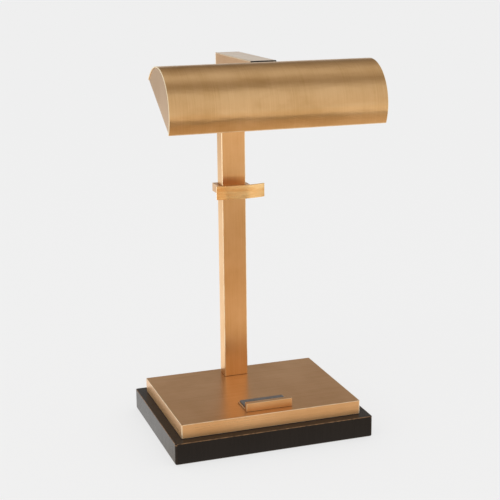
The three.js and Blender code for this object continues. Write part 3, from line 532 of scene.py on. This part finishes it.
@functools.cache
def porcelain():
    """Glazed lamp-holder porcelain: off-white, slightly pooled glaze with fine specks."""
    glaze = Finish("porcelain", Coat_Weight=0.5, Coat_Roughness=0.08)
    pooling = glaze.noise(70, EVEN, 3)
    specks = glaze.spread(glaze.noise(900, EVEN, 1), 0.72, 0.78)
    base = glaze.blend(glaze.spread(pooling, 0.35, 0.65), (0.82, 0.79, 0.73), (0.88, 0.86, 0.82))
    glaze.set("Base Color", glaze.blend(specks, base, (0.42, 0.38, 0.33)))
    glaze.set("Roughness", glaze.spread(pooling, 0.3, 0.7, 0.14, 0.26))
    glaze.bump(pooling, 0.12, 0.4 * MM)
    return glaze.material


@functools.cache
def felt():
    """Pressed wool felt: matted fibres in three sizes, with a soft sheen."""
    wool = Finish(
        "pressed_felt",
        Sheen_Weight=0.35,
        Sheen_Roughness=0.5,
        Specular_IOR_Level=0.15,
    )
    long_fibres = wool.noise(500, (1, 0.15, 1), 5)
    cross_fibres = wool.noise(560, (0.18, 1, 1), 5)
    fuzz = wool.noise(1800, EVEN, 4)
    mat = wool.sum((long_fibres, 0.35), (cross_fibres, 0.35), (fuzz, 0.3))
    dark, light = (0.030, 0.026, 0.022), (0.085, 0.073, 0.062)
    wool.set("Base Color", wool.blend(wool.spread(mat, 0.35, 0.65), dark, light))
    wool.set("Roughness", wool.spread(fuzz, 0.3, 0.7, 0.85, 1.0))
    wool.bump(mat, 0.8, 0.5 * MM)
    return wool.material


@functools.cache
def bulb_glass():
    """Clear lamp glass with a faint unevenness from blowing."""
    glass = Finish("bulb_glass", Roughness=0.03, IOR=1.45, Transmission_Weight=1.0)
    waves = glass.noise(90, EVEN, 2)
    glass.set("Base Color", glass.blend(waves, (0.97, 0.96, 0.94), (1.0, 0.99, 0.97)))
    glass.bump(waves, 0.1, 0.5 * MM)
    return glass.material


# ---------------- shapes

# What turns the Z axis of a lathe's profile to each axis.
AXIS_FRAMES = {
    "x": Matrix(((0, 0, 1), (1, 0, 0), (0, 1, 0))),
    "y": Matrix(((0, 1, 0), (0, 0, 1), (1, 0, 0))),
    "z": Matrix.Identity(3),
}


def rounded_ring(width, depth, radius, height, centre, steps=5):
    """A level ring of points round a rectangle with round corners."""
    points = []
    for quarter, (side_x, side_y) in enumerate(((1, 1), (-1, 1), (-1, -1), (1, -1))):
        corner_x = centre.x + side_x * (width / 2 - radius)
        corner_y = centre.y + side_y * (depth / 2 - radius)
        for step in range(steps + 1):
            turn = (quarter + step / steps) * math.pi / 2
            x = corner_x + radius * math.cos(turn)
            y = corner_y + radius * math.sin(turn)
            points.append(Vector((x, y, height)))
    return points


def loft(rings, closed=False):
    """A skin over a row of rings, with its ends filled or its last ring joined to the first."""
    shape = bmesh.new()
    rows = [[shape.verts.new(point) for point in ring] for ring in rings]
    neighbours = list(zip(rows, rows[1:]))
    if closed:
        neighbours.append((rows[-1], rows[0]))
    for low, high in neighbours:
        for index in range(len(low)):
            after = (index + 1) % len(low)
            shape.faces.new((low[index], low[after], high[after], high[index]))
    if not closed:
        shape.faces.new(list(reversed(rows[0])))
        shape.faces.new(rows[-1])
    bmesh.ops.recalc_face_normals(shape, faces=shape.faces[:])
    return shape


def quarter_turn(radius, steps=4):
    """(inset, rise) along a quarter round that starts level and ends upright."""
    turns = [step / steps * math.pi / 2 for step in range(steps + 1)]
    return [(radius * (1 - math.sin(turn)), radius * (1 - math.cos(turn))) for turn in turns]


def block_rings(low, high, corner, lower_round, upper_round):
    """Rings of a block between two corners, its upright corners and its two rims rounded."""
    centre = (low + high) / 2
    width, depth = high.x - low.x, high.y - low.y

    def ring(inset, height):
        radius = max(corner - inset, 0.1 * MM)
        return rounded_ring(width - 2 * inset, depth - 2 * inset, radius, height, centre)

    lower = [ring(inset, low.z + rise) for inset, rise in quarter_turn(lower_round)]
    upper = [ring(inset, high.z - rise) for inset, rise in reversed(quarter_turn(upper_round))]
    return lower + upper


def rounded_block(low, high, corner, rim):
    """A solid block whose two rims are rounded alike."""
    return loft(block_rings(low, high, corner, rim, rim))


TRAY_INNER_CORNER = 0.6 * MM
TUBE_INNER_CORNER = 0.4 * MM


def tray(low, high, corner, lower_round, upper_round, wall, roof):
    """A block that is hollow from below."""
    centre = (low + high) / 2
    width, depth = high.x - low.x - 2 * wall, high.y - low.y - 2 * wall
    inside = [
        rounded_ring(width, depth, TRAY_INNER_CORNER, height, centre)
        for height in (high.z - roof, low.z)
    ]
    return loft(inside + block_rings(low, high, corner, lower_round, upper_round))


def tube(low, high, corner, wall, rim):
    """A rectangular tube that stands upright between two corners."""
    centre = (low + high) / 2
    width, depth = high.x - low.x - 2 * wall, high.y - low.y - 2 * wall
    inside = [
        rounded_ring(width, depth, TUBE_INNER_CORNER, height, centre)
        for height in (high.z, low.z)
    ]
    return loft(block_rings(low, high, corner, rim, rim) + inside, closed=True)


def swap_y_and_z(corner):
    return Vector((corner.x, corner.z, corner.y))


def laid_along_y(shape):
    """Lays an upright shape down: its height runs along Y."""
    for vertex in shape.verts:
        vertex.co = swap_y_and_z(vertex.co)
    bmesh.ops.recalc_face_normals(shape, faces=shape.faces[:])
    return shape


def lathe(profile, axis, centre, segments=48, ripple=None):
    """Turns (radius, distance) points round an axis; a profile that ends off the axis is closed.

    ripple(index, radius, distance) scales the radius of single points.
    """
    turn_to = AXIS_FRAMES[axis]
    origin = Vector(centre)
    shape = bmesh.new()
    rows = []
    for radius, distance in profile:
        if radius == 0:
            rows.append([shape.verts.new(origin + turn_to @ Vector((0, 0, distance)))])
            continue
        row = []
        for index in range(segments):
            turn = 2 * math.pi * index / segments
            reach = radius * (ripple(index, radius, distance) if ripple else 1)
            offset = Vector((reach * math.cos(turn), reach * math.sin(turn), distance))
            row.append(shape.verts.new(origin + turn_to @ offset))
        rows.append(row)
    neighbours = list(zip(rows, rows[1:]))
    if len(rows[0]) > 1 and len(rows[-1]) > 1:
        neighbours.append((rows[-1], rows[0]))
    for first, second in neighbours:
        for index in range(segments):
            after = (index + 1) % segments
            corners = [first[index % len(first)], first[after % len(first)]]
            corners += [second[after % len(second)], second[index % len(second)]]
            shape.faces.new(list(dict.fromkeys(corners)))
    bmesh.ops.recalc_face_normals(shape, faces=shape.faces[:])
    return shape


SAME_POINT = 0.002 * MM
FLAT = math.radians(0.5)  # faces that meet at a smaller angle are parts of one flat face


def round_edges(shape, limit, size, segments):
    """Rounds the edges of a closed shape that turn by more than the angle limit."""
    sharp = [edge for edge in shape.edges if edge.is_manifold and edge.calc_face_angle() > limit]
    bmesh.ops.bevel(
        shape,
        geom=sharp,
        offset=size,
        segments=segments,
        profile=0.5,
        affect="EDGES",
        clamp_overlap=True,
    )


def refined(node, bevel, segments=3, sharp_from=28):
    """The CAD node's own mesh with its flat faces made whole and its sharp edges rounded."""
    shape = bmesh.new()
    shape.from_mesh(frame["nodes"][node].data)
    bmesh.ops.remove_doubles(shape, verts=shape.verts[:], dist=SAME_POINT)
    bmesh.ops.dissolve_limit(shape, angle_limit=FLAT, verts=shape.verts[:], edges=shape.edges[:])
    round_edges(shape, math.radians(sharp_from), bevel, segments)
    return shape


NARROW = 1.15 * MM  # a face no wider than this, at a bend, is part of a rounded edge
BEND = math.radians(5)


def mark_worn_edges(shape):
    """Gives each face of a rounded edge the attribute that the materials read as wear."""
    wear = shape.faces.layers.float.new(WEAR)
    for face in shape.faces:
        longest = max(edge.calc_length() for edge in face.edges)
        narrow = face.calc_area() < NARROW * longest
        bent = any(edge.is_manifold and edge.calc_face_angle() > BEND for edge in face.edges)
        face[wear] = 1.0 if narrow and bent and longest > 2 * NARROW else 0.0


FACING = 0.8  # a face looks along an axis where its normal is at least this much along it


def add_piece(
    name,
    shape,
    material,
    node,
    end_material=None,
    end_axis=None,
    facing=FACING,
    smooth=35,
    weighted=True,
    hides_node=True,
):
    """Turns a shape into a piece that rides on a CAD node's body and is shown in its place.

    Faces that look along end_axis take end_material. smooth is the angle in degrees up to which
    two faces are shaded as one.
    """
    mark_worn_edges(shape)
    if end_axis is not None:
        for face in shape.faces:
            face.material_index = 1 if abs(face.normal.dot(Vector(end_axis))) > facing else 0
    mesh = mesh_of(shape, name)
    mesh.materials.append(material)
    if end_material is not None:
        mesh.materials.append(end_material)
    mesh.shade_smooth()
    mesh.set_sharp_from_angle(angle=math.radians(smooth))
    piece = add_object(name, mesh)
    if weighted:
        even = piece.modifiers.new("even_normals", "WEIGHTED_NORMAL")
        even.keep_sharp = True
    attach(piece, BODIES[node])
    if hides_node:
        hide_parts(node)
    return piece


X_AXIS, Z_AXIS = (1, 0, 0), (0, 0, 1)


# ---------------- base, plinth and ledge


def make_base():
    """The black block and the felt under it."""
    low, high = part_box("base_block")
    block = tray(
        low,
        high,
        corner=3 * MM,
        lower_round=2.4 * MM,
        upper_round=0.9 * MM,
        wall=5 * MM,
        roof=6 * MM,
    )
    add_piece("base_body", block, black_base(), "base_block")
    lay_felt("base_felt", "base_felt_pad", 4 * MM, 0.5 * MM)


def lay_felt(node, name, corner, rim):
    """A flat sheet of felt that lies against another piece."""
    low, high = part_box(node)
    piece = add_piece(name, rounded_block(low, high, corner, rim), felt(), node)


def make_plinth():
    """A slab whose upper face mirrors more clearly than its sides."""
    low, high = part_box("plinth")
    block = tray(
        low,
        high,
        corner=1.6 * MM,
        lower_round=0.6 * MM,
        upper_round=0.8 * MM,
        wall=2.5 * MM,
        roof=3 * MM,
    )
    sides, ends = brass("x", "slab"), brass("y", "slab")
    piece = add_piece("plinth_body", block, sides, "plinth", ends, X_AXIS)
    piece.data.materials.append(brass("x"))
    for face in piece.data.polygons:
        if face.normal.z > FACING:
            face.material_index = len(piece.data.materials) - 1


def make_ledge():
    """The lip that shows in front, the shelf behind it and its felt."""
    for node in ("ledge_lip", "ledge_shelf"):
        low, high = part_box(node)
        block = rounded_block(low, high, corner=0.9 * MM, rim=0.5 * MM)
        add_piece(f"{node}_bar", block, brass("x"), node, brass("y"), X_AXIS)
    lay_felt("ledge_felt", "ledge_felt_strip", 2 * MM, 0.4 * MM)


# ---------------- column and arm

TUBE_CORNER = 1.4 * MM
TUBE_WALL = 2 * MM


def make_column():
    low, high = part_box("column")
    shape = tube(low, high, TUBE_CORNER, TUBE_WALL, rim=0.5 * MM)
    add_piece("column_tube", shape, brass("z", "tube"), "column")


def make_arm():
    """A tube like the column's, with a painted reflection making its upper and lower face paler,
    and its two end plugs.
    """
    low, high = (swap_y_and_z(corner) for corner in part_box("arm"))
    shape = laid_along_y(tube(low, high, TUBE_CORNER, TUBE_WALL, rim=0.4 * MM))
    add_piece("arm_tube", shape, brass("y"), "arm", brass("y", "arm"), Z_AXIS)
    # The front plug is a real end plug, and its black also paints in the shade that falls on the
    # arm's end inside the notch.
    for node, material in (("arm_front_cap", black_plastic()), ("arm_back_cap", brass("x"))):
        add_piece(f"{node}_plug", refined(node, 0.35 * MM), material, node)


# ---------------- shade

SHADE_THICKNESS = 1.6 * MM
SHADE_STEPS = 96
SHADE_SHARP = math.radians(40)  # edges of the shade sharper than this are rounded
NOTCH_HALF_WIDTH = 20 * MM
SHADE_BACK_ANGLE = 40  # degrees from +Y, turning up over the top
SHADE_NOTCH_ANGLE = 85
SHADE_FRONT_ANGLE = 205.5
CAP_PLAY = 0.5  # degrees by which a cap ends short of the shell
# The painted highlight on the rims spreads over their rounded edges as well.
RIM_FACING = 0.2  # low enough for the rounded edges of the rim to count as rim


@functools.cache
def shade_axis():
    """Where the shade's axis lies along Y and Z."""
    low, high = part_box("pivot_bolt")
    centre = (low + high) / 2
    return centre.y, centre.z


def shade_point(x, degrees, radius):
    """A point round the shade's axis."""
    axis_y, axis_z = shade_axis()
    turn = math.radians(degrees)
    return Vector((x, axis_y + radius * math.cos(turn), axis_z + radius * math.sin(turn)))


def steps_between(first, last, count):
    """Evenly spaced numbers from first to last, with count steps between them."""
    return [first + (last - first) * step / count for step in range(count + 1)]


def make_shade():
    """A bent sheet with a notch for the arm, whose bare end rims carry a painted highlight in pale,
    part-metallic brass.
    """
    low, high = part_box("shade_shell")
    shape = bent_sheet(low.x, high.x, high.z - shade_axis()[1])
    thicken(shape)
    add_piece(
        "shade_body",
        shape,
        brass("arc", "sheet"),
        "shade_shell",
        brass("y", "edge"),
        X_AXIS,
        facing=RIM_FACING,
    )


def bent_sheet(left, right, radius):
    """The shade's outer face alone, without the notch in the middle of its back."""
    sweep = SHADE_FRONT_ANGLE - SHADE_BACK_ANGLE
    notch_sweep = SHADE_NOTCH_ANGLE - SHADE_BACK_ANGLE
    notch_steps = round(SHADE_STEPS * notch_sweep / sweep)
    angles = steps_between(SHADE_BACK_ANGLE, SHADE_NOTCH_ANGLE, notch_steps)[:-1]
    angles += steps_between(SHADE_NOTCH_ANGLE, SHADE_FRONT_ANGLE, SHADE_STEPS - notch_steps)
    columns = [left, -NOTCH_HALF_WIDTH, NOTCH_HALF_WIDTH, right]
    shape = bmesh.new()
    grid = [
        [shape.verts.new(shade_point(x, degrees, radius)) for x in columns]
        for degrees in angles
    ]
    for row in range(len(angles) - 1):
        for column in range(len(columns) - 1):
            in_notch = column == 1 and row < notch_steps
            if in_notch:
                continue
            corners = (grid[row][column], grid[row + 1][column])
            corners += (grid[row + 1][column + 1], grid[row][column + 1])
            shape.faces.new(corners)
    loose = [vertex for vertex in shape.verts if not vertex.link_faces]
    bmesh.ops.delete(shape, geom=loose, context="VERTS")
    return shape


def thicken(shape):
    """Gives the one-sided shade its wall, towards its axis, and rounds the wall's rims."""
    outer = shape.faces[:]
    inner_of = {}
    for vertex in shape.verts[:]:
        centre = Vector((vertex.co.x, *shade_axis()))
        away = vertex.co - centre
        scale = (away.length - SHADE_THICKNESS) / away.length
        inner_of[vertex] = shape.verts.new(centre + away * scale)
    rims = [edge for edge in shape.edges if edge.is_boundary]
    for face in outer:
        shape.faces.new([inner_of[vertex] for vertex in reversed(face.verts)])
    for edge in rims:
        first, second = edge.verts
        shape.faces.new((first, second, inner_of[second], inner_of[first]))
    bmesh.ops.recalc_face_normals(shape, faces=shape.faces[:])
    shape.normal_update()
    round_edges(shape, SHADE_SHARP, 0.7 * MM, 3)


def make_shade_caps():
    """Flat ends, each a segment of a disc with a rounded rim, in brass with a painted reflection
    that makes it greyer than the shell's.
    """
    for node in ("shade_cap_left", "shade_cap_right"):
        low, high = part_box(node)
        radius = high.z - shade_axis()[1]
        first, last = SHADE_BACK_ANGLE + CAP_PLAY, SHADE_FRONT_ANGLE - CAP_PLAY
        angles = steps_between(first, last, SHADE_STEPS)
        sides = (low.x, high.x)
        shape = loft([[shade_point(x, degrees, radius) for degrees in angles] for x in sides])
        round_edges(shape, SHADE_SHARP, 0.3 * MM, 2)
        add_piece(f"{node}_plate", shape, brass("z", "end"), node)


# ---------------- swivel, yoke and lamps


def make_swivel():
    """The swivel's pieces, from their CAD shapes: node, piece, material, bevel in mm."""
    brackets = (
        ("swivel_bracket", "bracket_body", brass("y"), 0.5),
        ("lamp_yoke", "yoke_body", brass("x"), 0.35),
        ("nut_plate", "nut_plate_body", steel("x"), 0.3),
        ("friction_washer_left", "friction_ring_left", rubber(), 0.15),
        ("friction_washer_right", "friction_ring_right", rubber(), 0.15),
        ("pivot_bolt", "pivot_bolt_body", steel("x"), 0.3),
        ("pivot_nut", "pivot_nut_body", steel("x"), 0.3),
    )
    for node, name, material, bevel in brackets:
        add_piece(name, refined(node, bevel * MM), material, node)


def make_lamps():
    for side, sign in (("left", -1), ("right", 1)):
        make_holder(side, sign)
        make_bulb_cap(side, sign)
        make_bulb_glass(side, sign)


def lamp_place(node):
    """Centre of the lamp's axis, and where the node starts and ends along it, outwards."""
    low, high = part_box(node)
    centre = (low + high) / 2
    start, end = sorted((abs(low.x), abs(high.x)))
    return (0, centre.y, centre.z), start, end


def outward(profile, sign):
    """Turns a profile that is measured outwards to its side of the shade."""
    return [(radius, sign * distance) for radius, distance in profile]


def make_holder(side, sign):
    """A porcelain holder: a stepped barrel with a rolled lip and two shallow grooves."""
    node = f"lamp_holder_{side}"
    centre, start, end = lamp_place(node)
    profile = [
        (0, start),
        (11.4 * MM, start),
        (12.2 * MM, start + 0.8 * MM),
        (12.2 * MM, start + 5 * MM),
        (11.6 * MM, start + 5.5 * MM),
        (11.6 * MM, start + 6.3 * MM),
        (12.2 * MM, start + 6.8 * MM),
        (12.2 * MM, start + 13.2 * MM),
        (11 * MM, start + 15 * MM),
        (10.4 * MM, start + 18 * MM),
        (10.4 * MM, end - 3.4 * MM),
        (11 * MM, end - 2.6 * MM),
        (11 * MM, end - 0.8 * MM),
        (10.3 * MM, end),
        (8.6 * MM, end),
        (8 * MM, end - 0.8 * MM),
        (8 * MM, start + 12 * MM),
        (0, start + 12 * MM),
    ]
    shape = lathe(outward(profile, sign), "x", centre)
    add_piece(f"{node}_body", shape, porcelain(), node)


CAP_PITCH = 2.4 * MM
CAP_STEPS = 4  # points of the profile in one turn of the cap's thread


def make_bulb_cap(side, sign):
    """The metal cap of a bulb: a contact, a cone and a round thread."""
    node = f"bulb_cap_{side}"
    centre, start, end = lamp_place(node)
    thread_start, thread_end = start + 5 * MM, end - 1.5 * MM
    steps = round((thread_end - thread_start) / CAP_PITCH) * CAP_STEPS
    profile = [
        (0, start),
        (3.2 * MM, start),
        (3.8 * MM, start + 0.6 * MM),
        (6.4 * MM, start + 4 * MM),
    ]
    for step in range(steps + 1):
        wave = 0.35 * MM * math.cos(step * math.pi / 2)
        profile.append((6.6 * MM + wave, thread_start + (thread_end - thread_start) * step / steps))
    profile += [(6.9 * MM, end), (0, end)]
    shape = lathe(outward(profile, sign), "x", centre)
    add_piece(f"{node}_body", shape, steel("x"), node, smooth=70)


BULB_RADIUS = 12.5 * MM
BULB_WALL = 0.8 * MM
DOME_STEPS = 10


def make_bulb_glass(side, sign):
    """A clear tube, domed at its end and drawn in at its cap, with a filament inside."""
    node = f"bulb_glass_{side}"
    centre, start, end = lamp_place(node)
    straight = end - BULB_RADIUS
    bore = BULB_RADIUS - BULB_WALL

    def dome(radius):
        turns = [step / DOME_STEPS * math.pi / 2 for step in range(DOME_STEPS)]
        return [(radius * math.cos(turn), straight + radius * math.sin(turn)) for turn in turns]

    profile = [(0, straight + bore)]
    profile += reversed(dome(bore))
    profile += [
        (bore, start + 7.6 * MM),
        (7.5 * MM, start + 3 * MM),
        (5.6 * MM, start + 0.4 * MM),
        (6.4 * MM, start),
        (8.4 * MM, start + 2.4 * MM),
        (11.3 * MM, start + 5 * MM),
        (BULB_RADIUS, start + 8 * MM),
    ]
    profile += dome(BULB_RADIUS)
    profile.append((0, straight + BULB_RADIUS))
    shape = lathe(outward(profile, sign), "x", centre)
    add_piece(f"{node}_body", shape, bulb_glass(), node, smooth=80, weighted=False)
    make_filament(side, sign, centre, start, end)


def make_filament(side, sign, centre, start, end):
    """Four straight runs of wire between two stars of supports, on a thin steel rod."""
    rod_start, rod_end = start - 2 * MM, end - 14 * MM
    rod = [(0, rod_start), (0.9 * MM, rod_start), (0.9 * MM, rod_end), (0, rod_end)]
    shape = lathe(outward(rod, sign), "x", centre, segments=10)
    reach = 5.5 * MM
    near, far = start + 14 * MM, end - 16 * MM
    for turn in (45, 135, 225, 315):
        y = centre[1] + reach * math.cos(math.radians(turn))
        z = centre[2] + reach * math.sin(math.radians(turn))
        add_wire(shape, Vector((sign * near, y, z)), Vector((sign * far, y, z)), 0.35 * MM)
        for x in (near, far):
            hub = Vector((sign * x, centre[1], centre[2]))
            add_wire(shape, hub, Vector((sign * x, y, z)), 0.3 * MM)
    name, node = f"bulb_filament_{side}", f"bulb_cap_{side}"
    add_piece(name, shape, steel("x"), node, weighted=False, hides_node=False)


WIRE_SIDES = 6


def add_wire(shape, start, end, radius):
    """Adds a straight closed wire to a shape."""
    along = (end - start).normalized()
    aside = along.orthogonal().normalized()
    other = along.cross(aside)
    rings = []
    for place in (start, end):
        ring = []
        for index in range(WIRE_SIDES):
            turn = 2 * math.pi * index / WIRE_SIDES
            offset = math.cos(turn) * aside + math.sin(turn) * other
            ring.append(shape.verts.new(place + radius * offset))
        rings.append(ring)
    for index in range(WIRE_SIDES):
        after = (index + 1) % WIRE_SIDES
        shape.faces.new((rings[0][index], rings[0][after], rings[1][after], rings[1][index]))
    shape.faces.new(list(reversed(rings[0])))
    shape.faces.new(rings[1])


# ---------------- clip

LIP_STEPS = 36


def make_clip():
    """The carriage round the column, the lip over the book's edge, and their pads."""
    shape = refined("clip_carriage", 0.5 * MM)
    add_piece("clip_carriage_body", shape, brass("x"), "clip_carriage", brass("y"), X_AXIS)
    lip = bowed_plate("clip_lip", thickness=3 * MM, bow=6 * MM, rim=0.6 * MM)
    # The lip's brass carries a painted highlight.
    add_piece("clip_lip_plate", lip, brass("x", "lip"), "clip_lip")
    for node in ("clip_lip_pad", "clip_bridge_pad", "pressure_pad"):
        pad = add_piece(f"{node}_felt", refined(node, 0.35 * MM), felt(), node)


def bowed_plate(node, thickness, bow, rim):
    """A plate bowed towards the front, with all its edges rounded."""
    low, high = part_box(node)
    width = high.x - low.x
    radius = (width**2 / 4 + bow**2) / (2 * bow)
    centre_y = low.y + radius
    half_turn = math.asin(width / 2 / radius)

    def section(inset):
        corners = rounded_ring(
            thickness - 2 * inset,
            high.z - low.z - 2 * inset,
            max(rim - inset, 0.1 * MM),
            0,
            Vector((0, 0, 0)),
            3,
        )
        return [(point.x, point.y + (low.z + high.z) / 2) for point in corners]

    ends = quarter_turn(rim, 3)
    inner_turn = half_turn - rim / radius
    turns = [(-half_turn + rise / radius, inset) for inset, rise in ends]
    turns += [(-inner_turn + 2 * inner_turn * step / LIP_STEPS, 0) for step in range(1, LIP_STEPS)]
    turns += [(half_turn - rise / radius, inset) for inset, rise in reversed(ends)]
    rings = []
    for turn, inset in turns:
        ring = []
        for depth, height in section(inset):
            reach = radius - thickness / 2 - depth
            x = reach * math.sin(turn)
            ring.append(Vector((x, centre_y - reach * math.cos(turn), height)))
        rings.append(ring)
    return loft(rings)


KNOB_LENGTH = 10 * MM
KNOB_NECK = 1.7 * MM
KNOB_PITCH = 1 * MM
GRIP_MARGIN = 1.2 * MM  # the plain part at each end of the knob
KNURLS = 40
KNURL_POINTS = 4  # in a ring of the grip: two on a ridge and two in a groove
KNURL_DEPTH = 0.045  # of the knob's radius


def make_thumb_screw():
    """A brass screw whose round head is knurled along its length."""
    low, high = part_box("thumb_screw")
    centre = (low + high) / 2
    knob = (high.x - low.x) / 2
    tip, end = low.y, high.y
    knob_start = end - KNOB_LENGTH

    def knurl(index, radius, distance):
        on_grip = knob_start + GRIP_MARGIN < distance < end - GRIP_MARGIN and radius > 8 * MM
        in_groove = index % KNURL_POINTS >= KNURL_POINTS / 2
        return 1 - KNURL_DEPTH if on_grip and in_groove else 1

    profile = [(0, tip), (2.6 * MM, tip)]
    thread_end = knob_start - KNOB_NECK
    for index in range(int((thread_end - tip) / KNOB_PITCH)):
        start = tip + 0.3 * MM + index * KNOB_PITCH
        profile += [(3 * MM, start), (2.6 * MM, start + KNOB_PITCH / 2)]
    profile += [
        (3 * MM, thread_end),
        (4.9 * MM, thread_end),
        (5.5 * MM, thread_end + 0.6 * MM),
        (5.5 * MM, knob_start),
        (knob - 0.9 * MM, knob_start),
        (knob - 0.2 * MM, knob_start + 0.5 * MM),
        (knob - 0.2 * MM, knob_start + 1.25 * MM),
        (knob, knob_start + 1.6 * MM),
        (knob, end - 1.6 * MM),
        (knob - 0.2 * MM, end - 1.25 * MM),
        (knob - 0.2 * MM, end - 0.6 * MM),
        (knob - 1.0 * MM, end),
        (4.5 * MM, end),
        (4.0 * MM, end - 0.5 * MM),
        (0, end - 0.5 * MM),
    ]
    place = (centre.x, 0, centre.z)
    shape = lathe(profile, "y", place, segments=KNURLS * KNURL_POINTS, ripple=knurl)
    node = "thumb_screw"
    add_piece(f"{node}_body", shape, brass("y"), node, smooth=25, weighted=False)


# ---------------- screws and hidden fittings


def make_screws():
    for node in sorted(BODIES):
        if "_screw" in node and node != "thumb_screw":
            make_screw(node)


HEAD_RADIUS = 3.55 * MM
HEAD_HEIGHT = 2 * MM
SHANK_RADIUS = 2 * MM
SHANK_PITCH = 0.9 * MM
SHANK_GROOVE = 0.3 * MM  # how deep the grooves of its thread are
BEYOND_SHANK = 3 * MM  # a point farther than this from the axis belongs to the head


def make_screw(node):
    """A cheese-head screw: a slotted head with a rounded rim, and a ridged shank."""
    low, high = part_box(node)
    size = high - low
    centre = (low + high) / 2
    axis = max(range(3), key=lambda index: size[index])
    others = [index for index in range(3) if index != axis]
    of_head = [
        vertex.co[axis]
        for vertex in frame["nodes"][node].data.vertices
        if math.hypot(*(vertex.co[index] - centre[index] for index in others)) > BEYOND_SHANK
    ]
    head_high = sum(of_head) / len(of_head) > centre[axis]
    top = high[axis] if head_high else low[axis]
    inward = -1 if head_high else 1
    length = size[axis]
    steps = [
        (0, 0),
        (HEAD_RADIUS - 0.7 * MM, 0),
        (HEAD_RADIUS - 0.2 * MM, 0.25 * MM),
        (HEAD_RADIUS, 0.8 * MM),
        (HEAD_RADIUS, HEAD_HEIGHT),
        (SHANK_RADIUS, HEAD_HEIGHT),
    ]
    groove = SHANK_RADIUS - SHANK_GROOVE
    for index in range(int((length - 3 * MM) / SHANK_PITCH)):
        start = 2.2 * MM + index * SHANK_PITCH
        steps += [(SHANK_RADIUS, start), (groove, start + SHANK_PITCH / 2)]
    steps += [(groove, length - 0.3 * MM), (SHANK_RADIUS - 0.7 * MM, length), (0, length)]
    profile = [(radius, top + inward * depth) for radius, depth in steps]
    place = centre.copy()
    place[axis] = 0
    letter = "xyz"[axis]
    shape = lathe(profile, letter, place, segments=32)
    piece = add_piece(f"{node}_body", shape, steel(letter), node, smooth=30, weighted=False)
    cut_slot(piece, axis, others, centre, top)


SLOT_DEPTH = 1.1 * MM
SLOT_LENGTH = 9 * MM  # more than the head is wide
SLOT_WIDTH = 1 * MM


def cut_slot(piece, axis, others, centre, top):
    """Cuts a straight slot across a screw's head."""
    size = Vector((0, 0, 0))
    size[axis] = 2 * SLOT_DEPTH
    size[others[0]] = SLOT_LENGTH
    size[others[1]] = SLOT_WIDTH
    middle = centre.copy()
    middle[axis] = top
    shape = bmesh.new()
    bmesh.ops.create_cube(shape, size=1)
    for vertex in shape.verts:
        vertex.co = Vector([vertex.co[index] * size[index] for index in range(3)]) + middle
    subtract(piece, shape)


def subtract(piece, shape):
    """Takes a shape away from a piece for good."""
    cutter = add_object("cutter", mesh_of(shape, "cutter"))
    boolean = piece.modifiers.new("slot", "BOOLEAN")
    boolean.object = cutter
    boolean.solver = "EXACT"
    scene_state = bpy.context.evaluated_depsgraph_get()
    result = bpy.data.meshes.new_from_object(piece.evaluated_get(scene_state))
    piece.modifiers.remove(boolean)
    old = piece.data
    piece.data = result
    bpy.data.meshes.remove(old)
    result.name = piece.name
    bpy.data.objects.remove(cutter)


def make_fittings():
    """Pieces inside the stand or below it, from their CAD shapes: node, material, bevel in mm."""
    fittings = (
        ("base_cover", steel("x"), 0.3),
        ("ballast_plate", steel("x"), 0.8),
        ("terminal_block", black_plastic(), 0.5),
        ("foot_insert", steel("z"), 0.4),
        ("elbow_insert", steel("z"), 0.4),
        ("threaded_tube", steel("z"), 0.2),
        ("foot_washer", steel("z"), 0.2),
        ("foot_nut", steel("z"), 0.4),
        ("inlet_bush", rubber(), 0.4),
        ("lamp_cable", cable_jacket(), 0.2),
    )
    for node, material, bevel in fittings:
        sharp_from = 65 if node == "lamp_cable" else 28
        shape = refined(node, bevel * MM, 2, sharp_from)
        add_piece(f"{node}_body", shape, material, node, smooth=50)


# ---------------- the whole scene

bpy.context.scene.view_settings.view_transform = "Standard"
make_camera()
make_room()
make_floor()
make_mirror_card("front_card", FRONT_CARD, WARM)
make_mirror_card("back_card", BACK_CARD, WHITE)
make_mirror_card("strip_card", STRIP_CARD, DARK, STRIP_SIDES, STRIP_FADE, UPPER_CARD)
make_mirror_card("left_softbox", LEFT_SOFTBOX, WHITE, LEFT_SOFTBOX_SIDES, height=UPPER_CARD)
make_key_light()

make_base()
make_plinth()
make_ledge()
make_column()
make_arm()
make_shade()
make_shade_caps()
make_swivel()
make_lamps()
make_clip()
make_thumb_screw()
make_screws()
make_fittings()
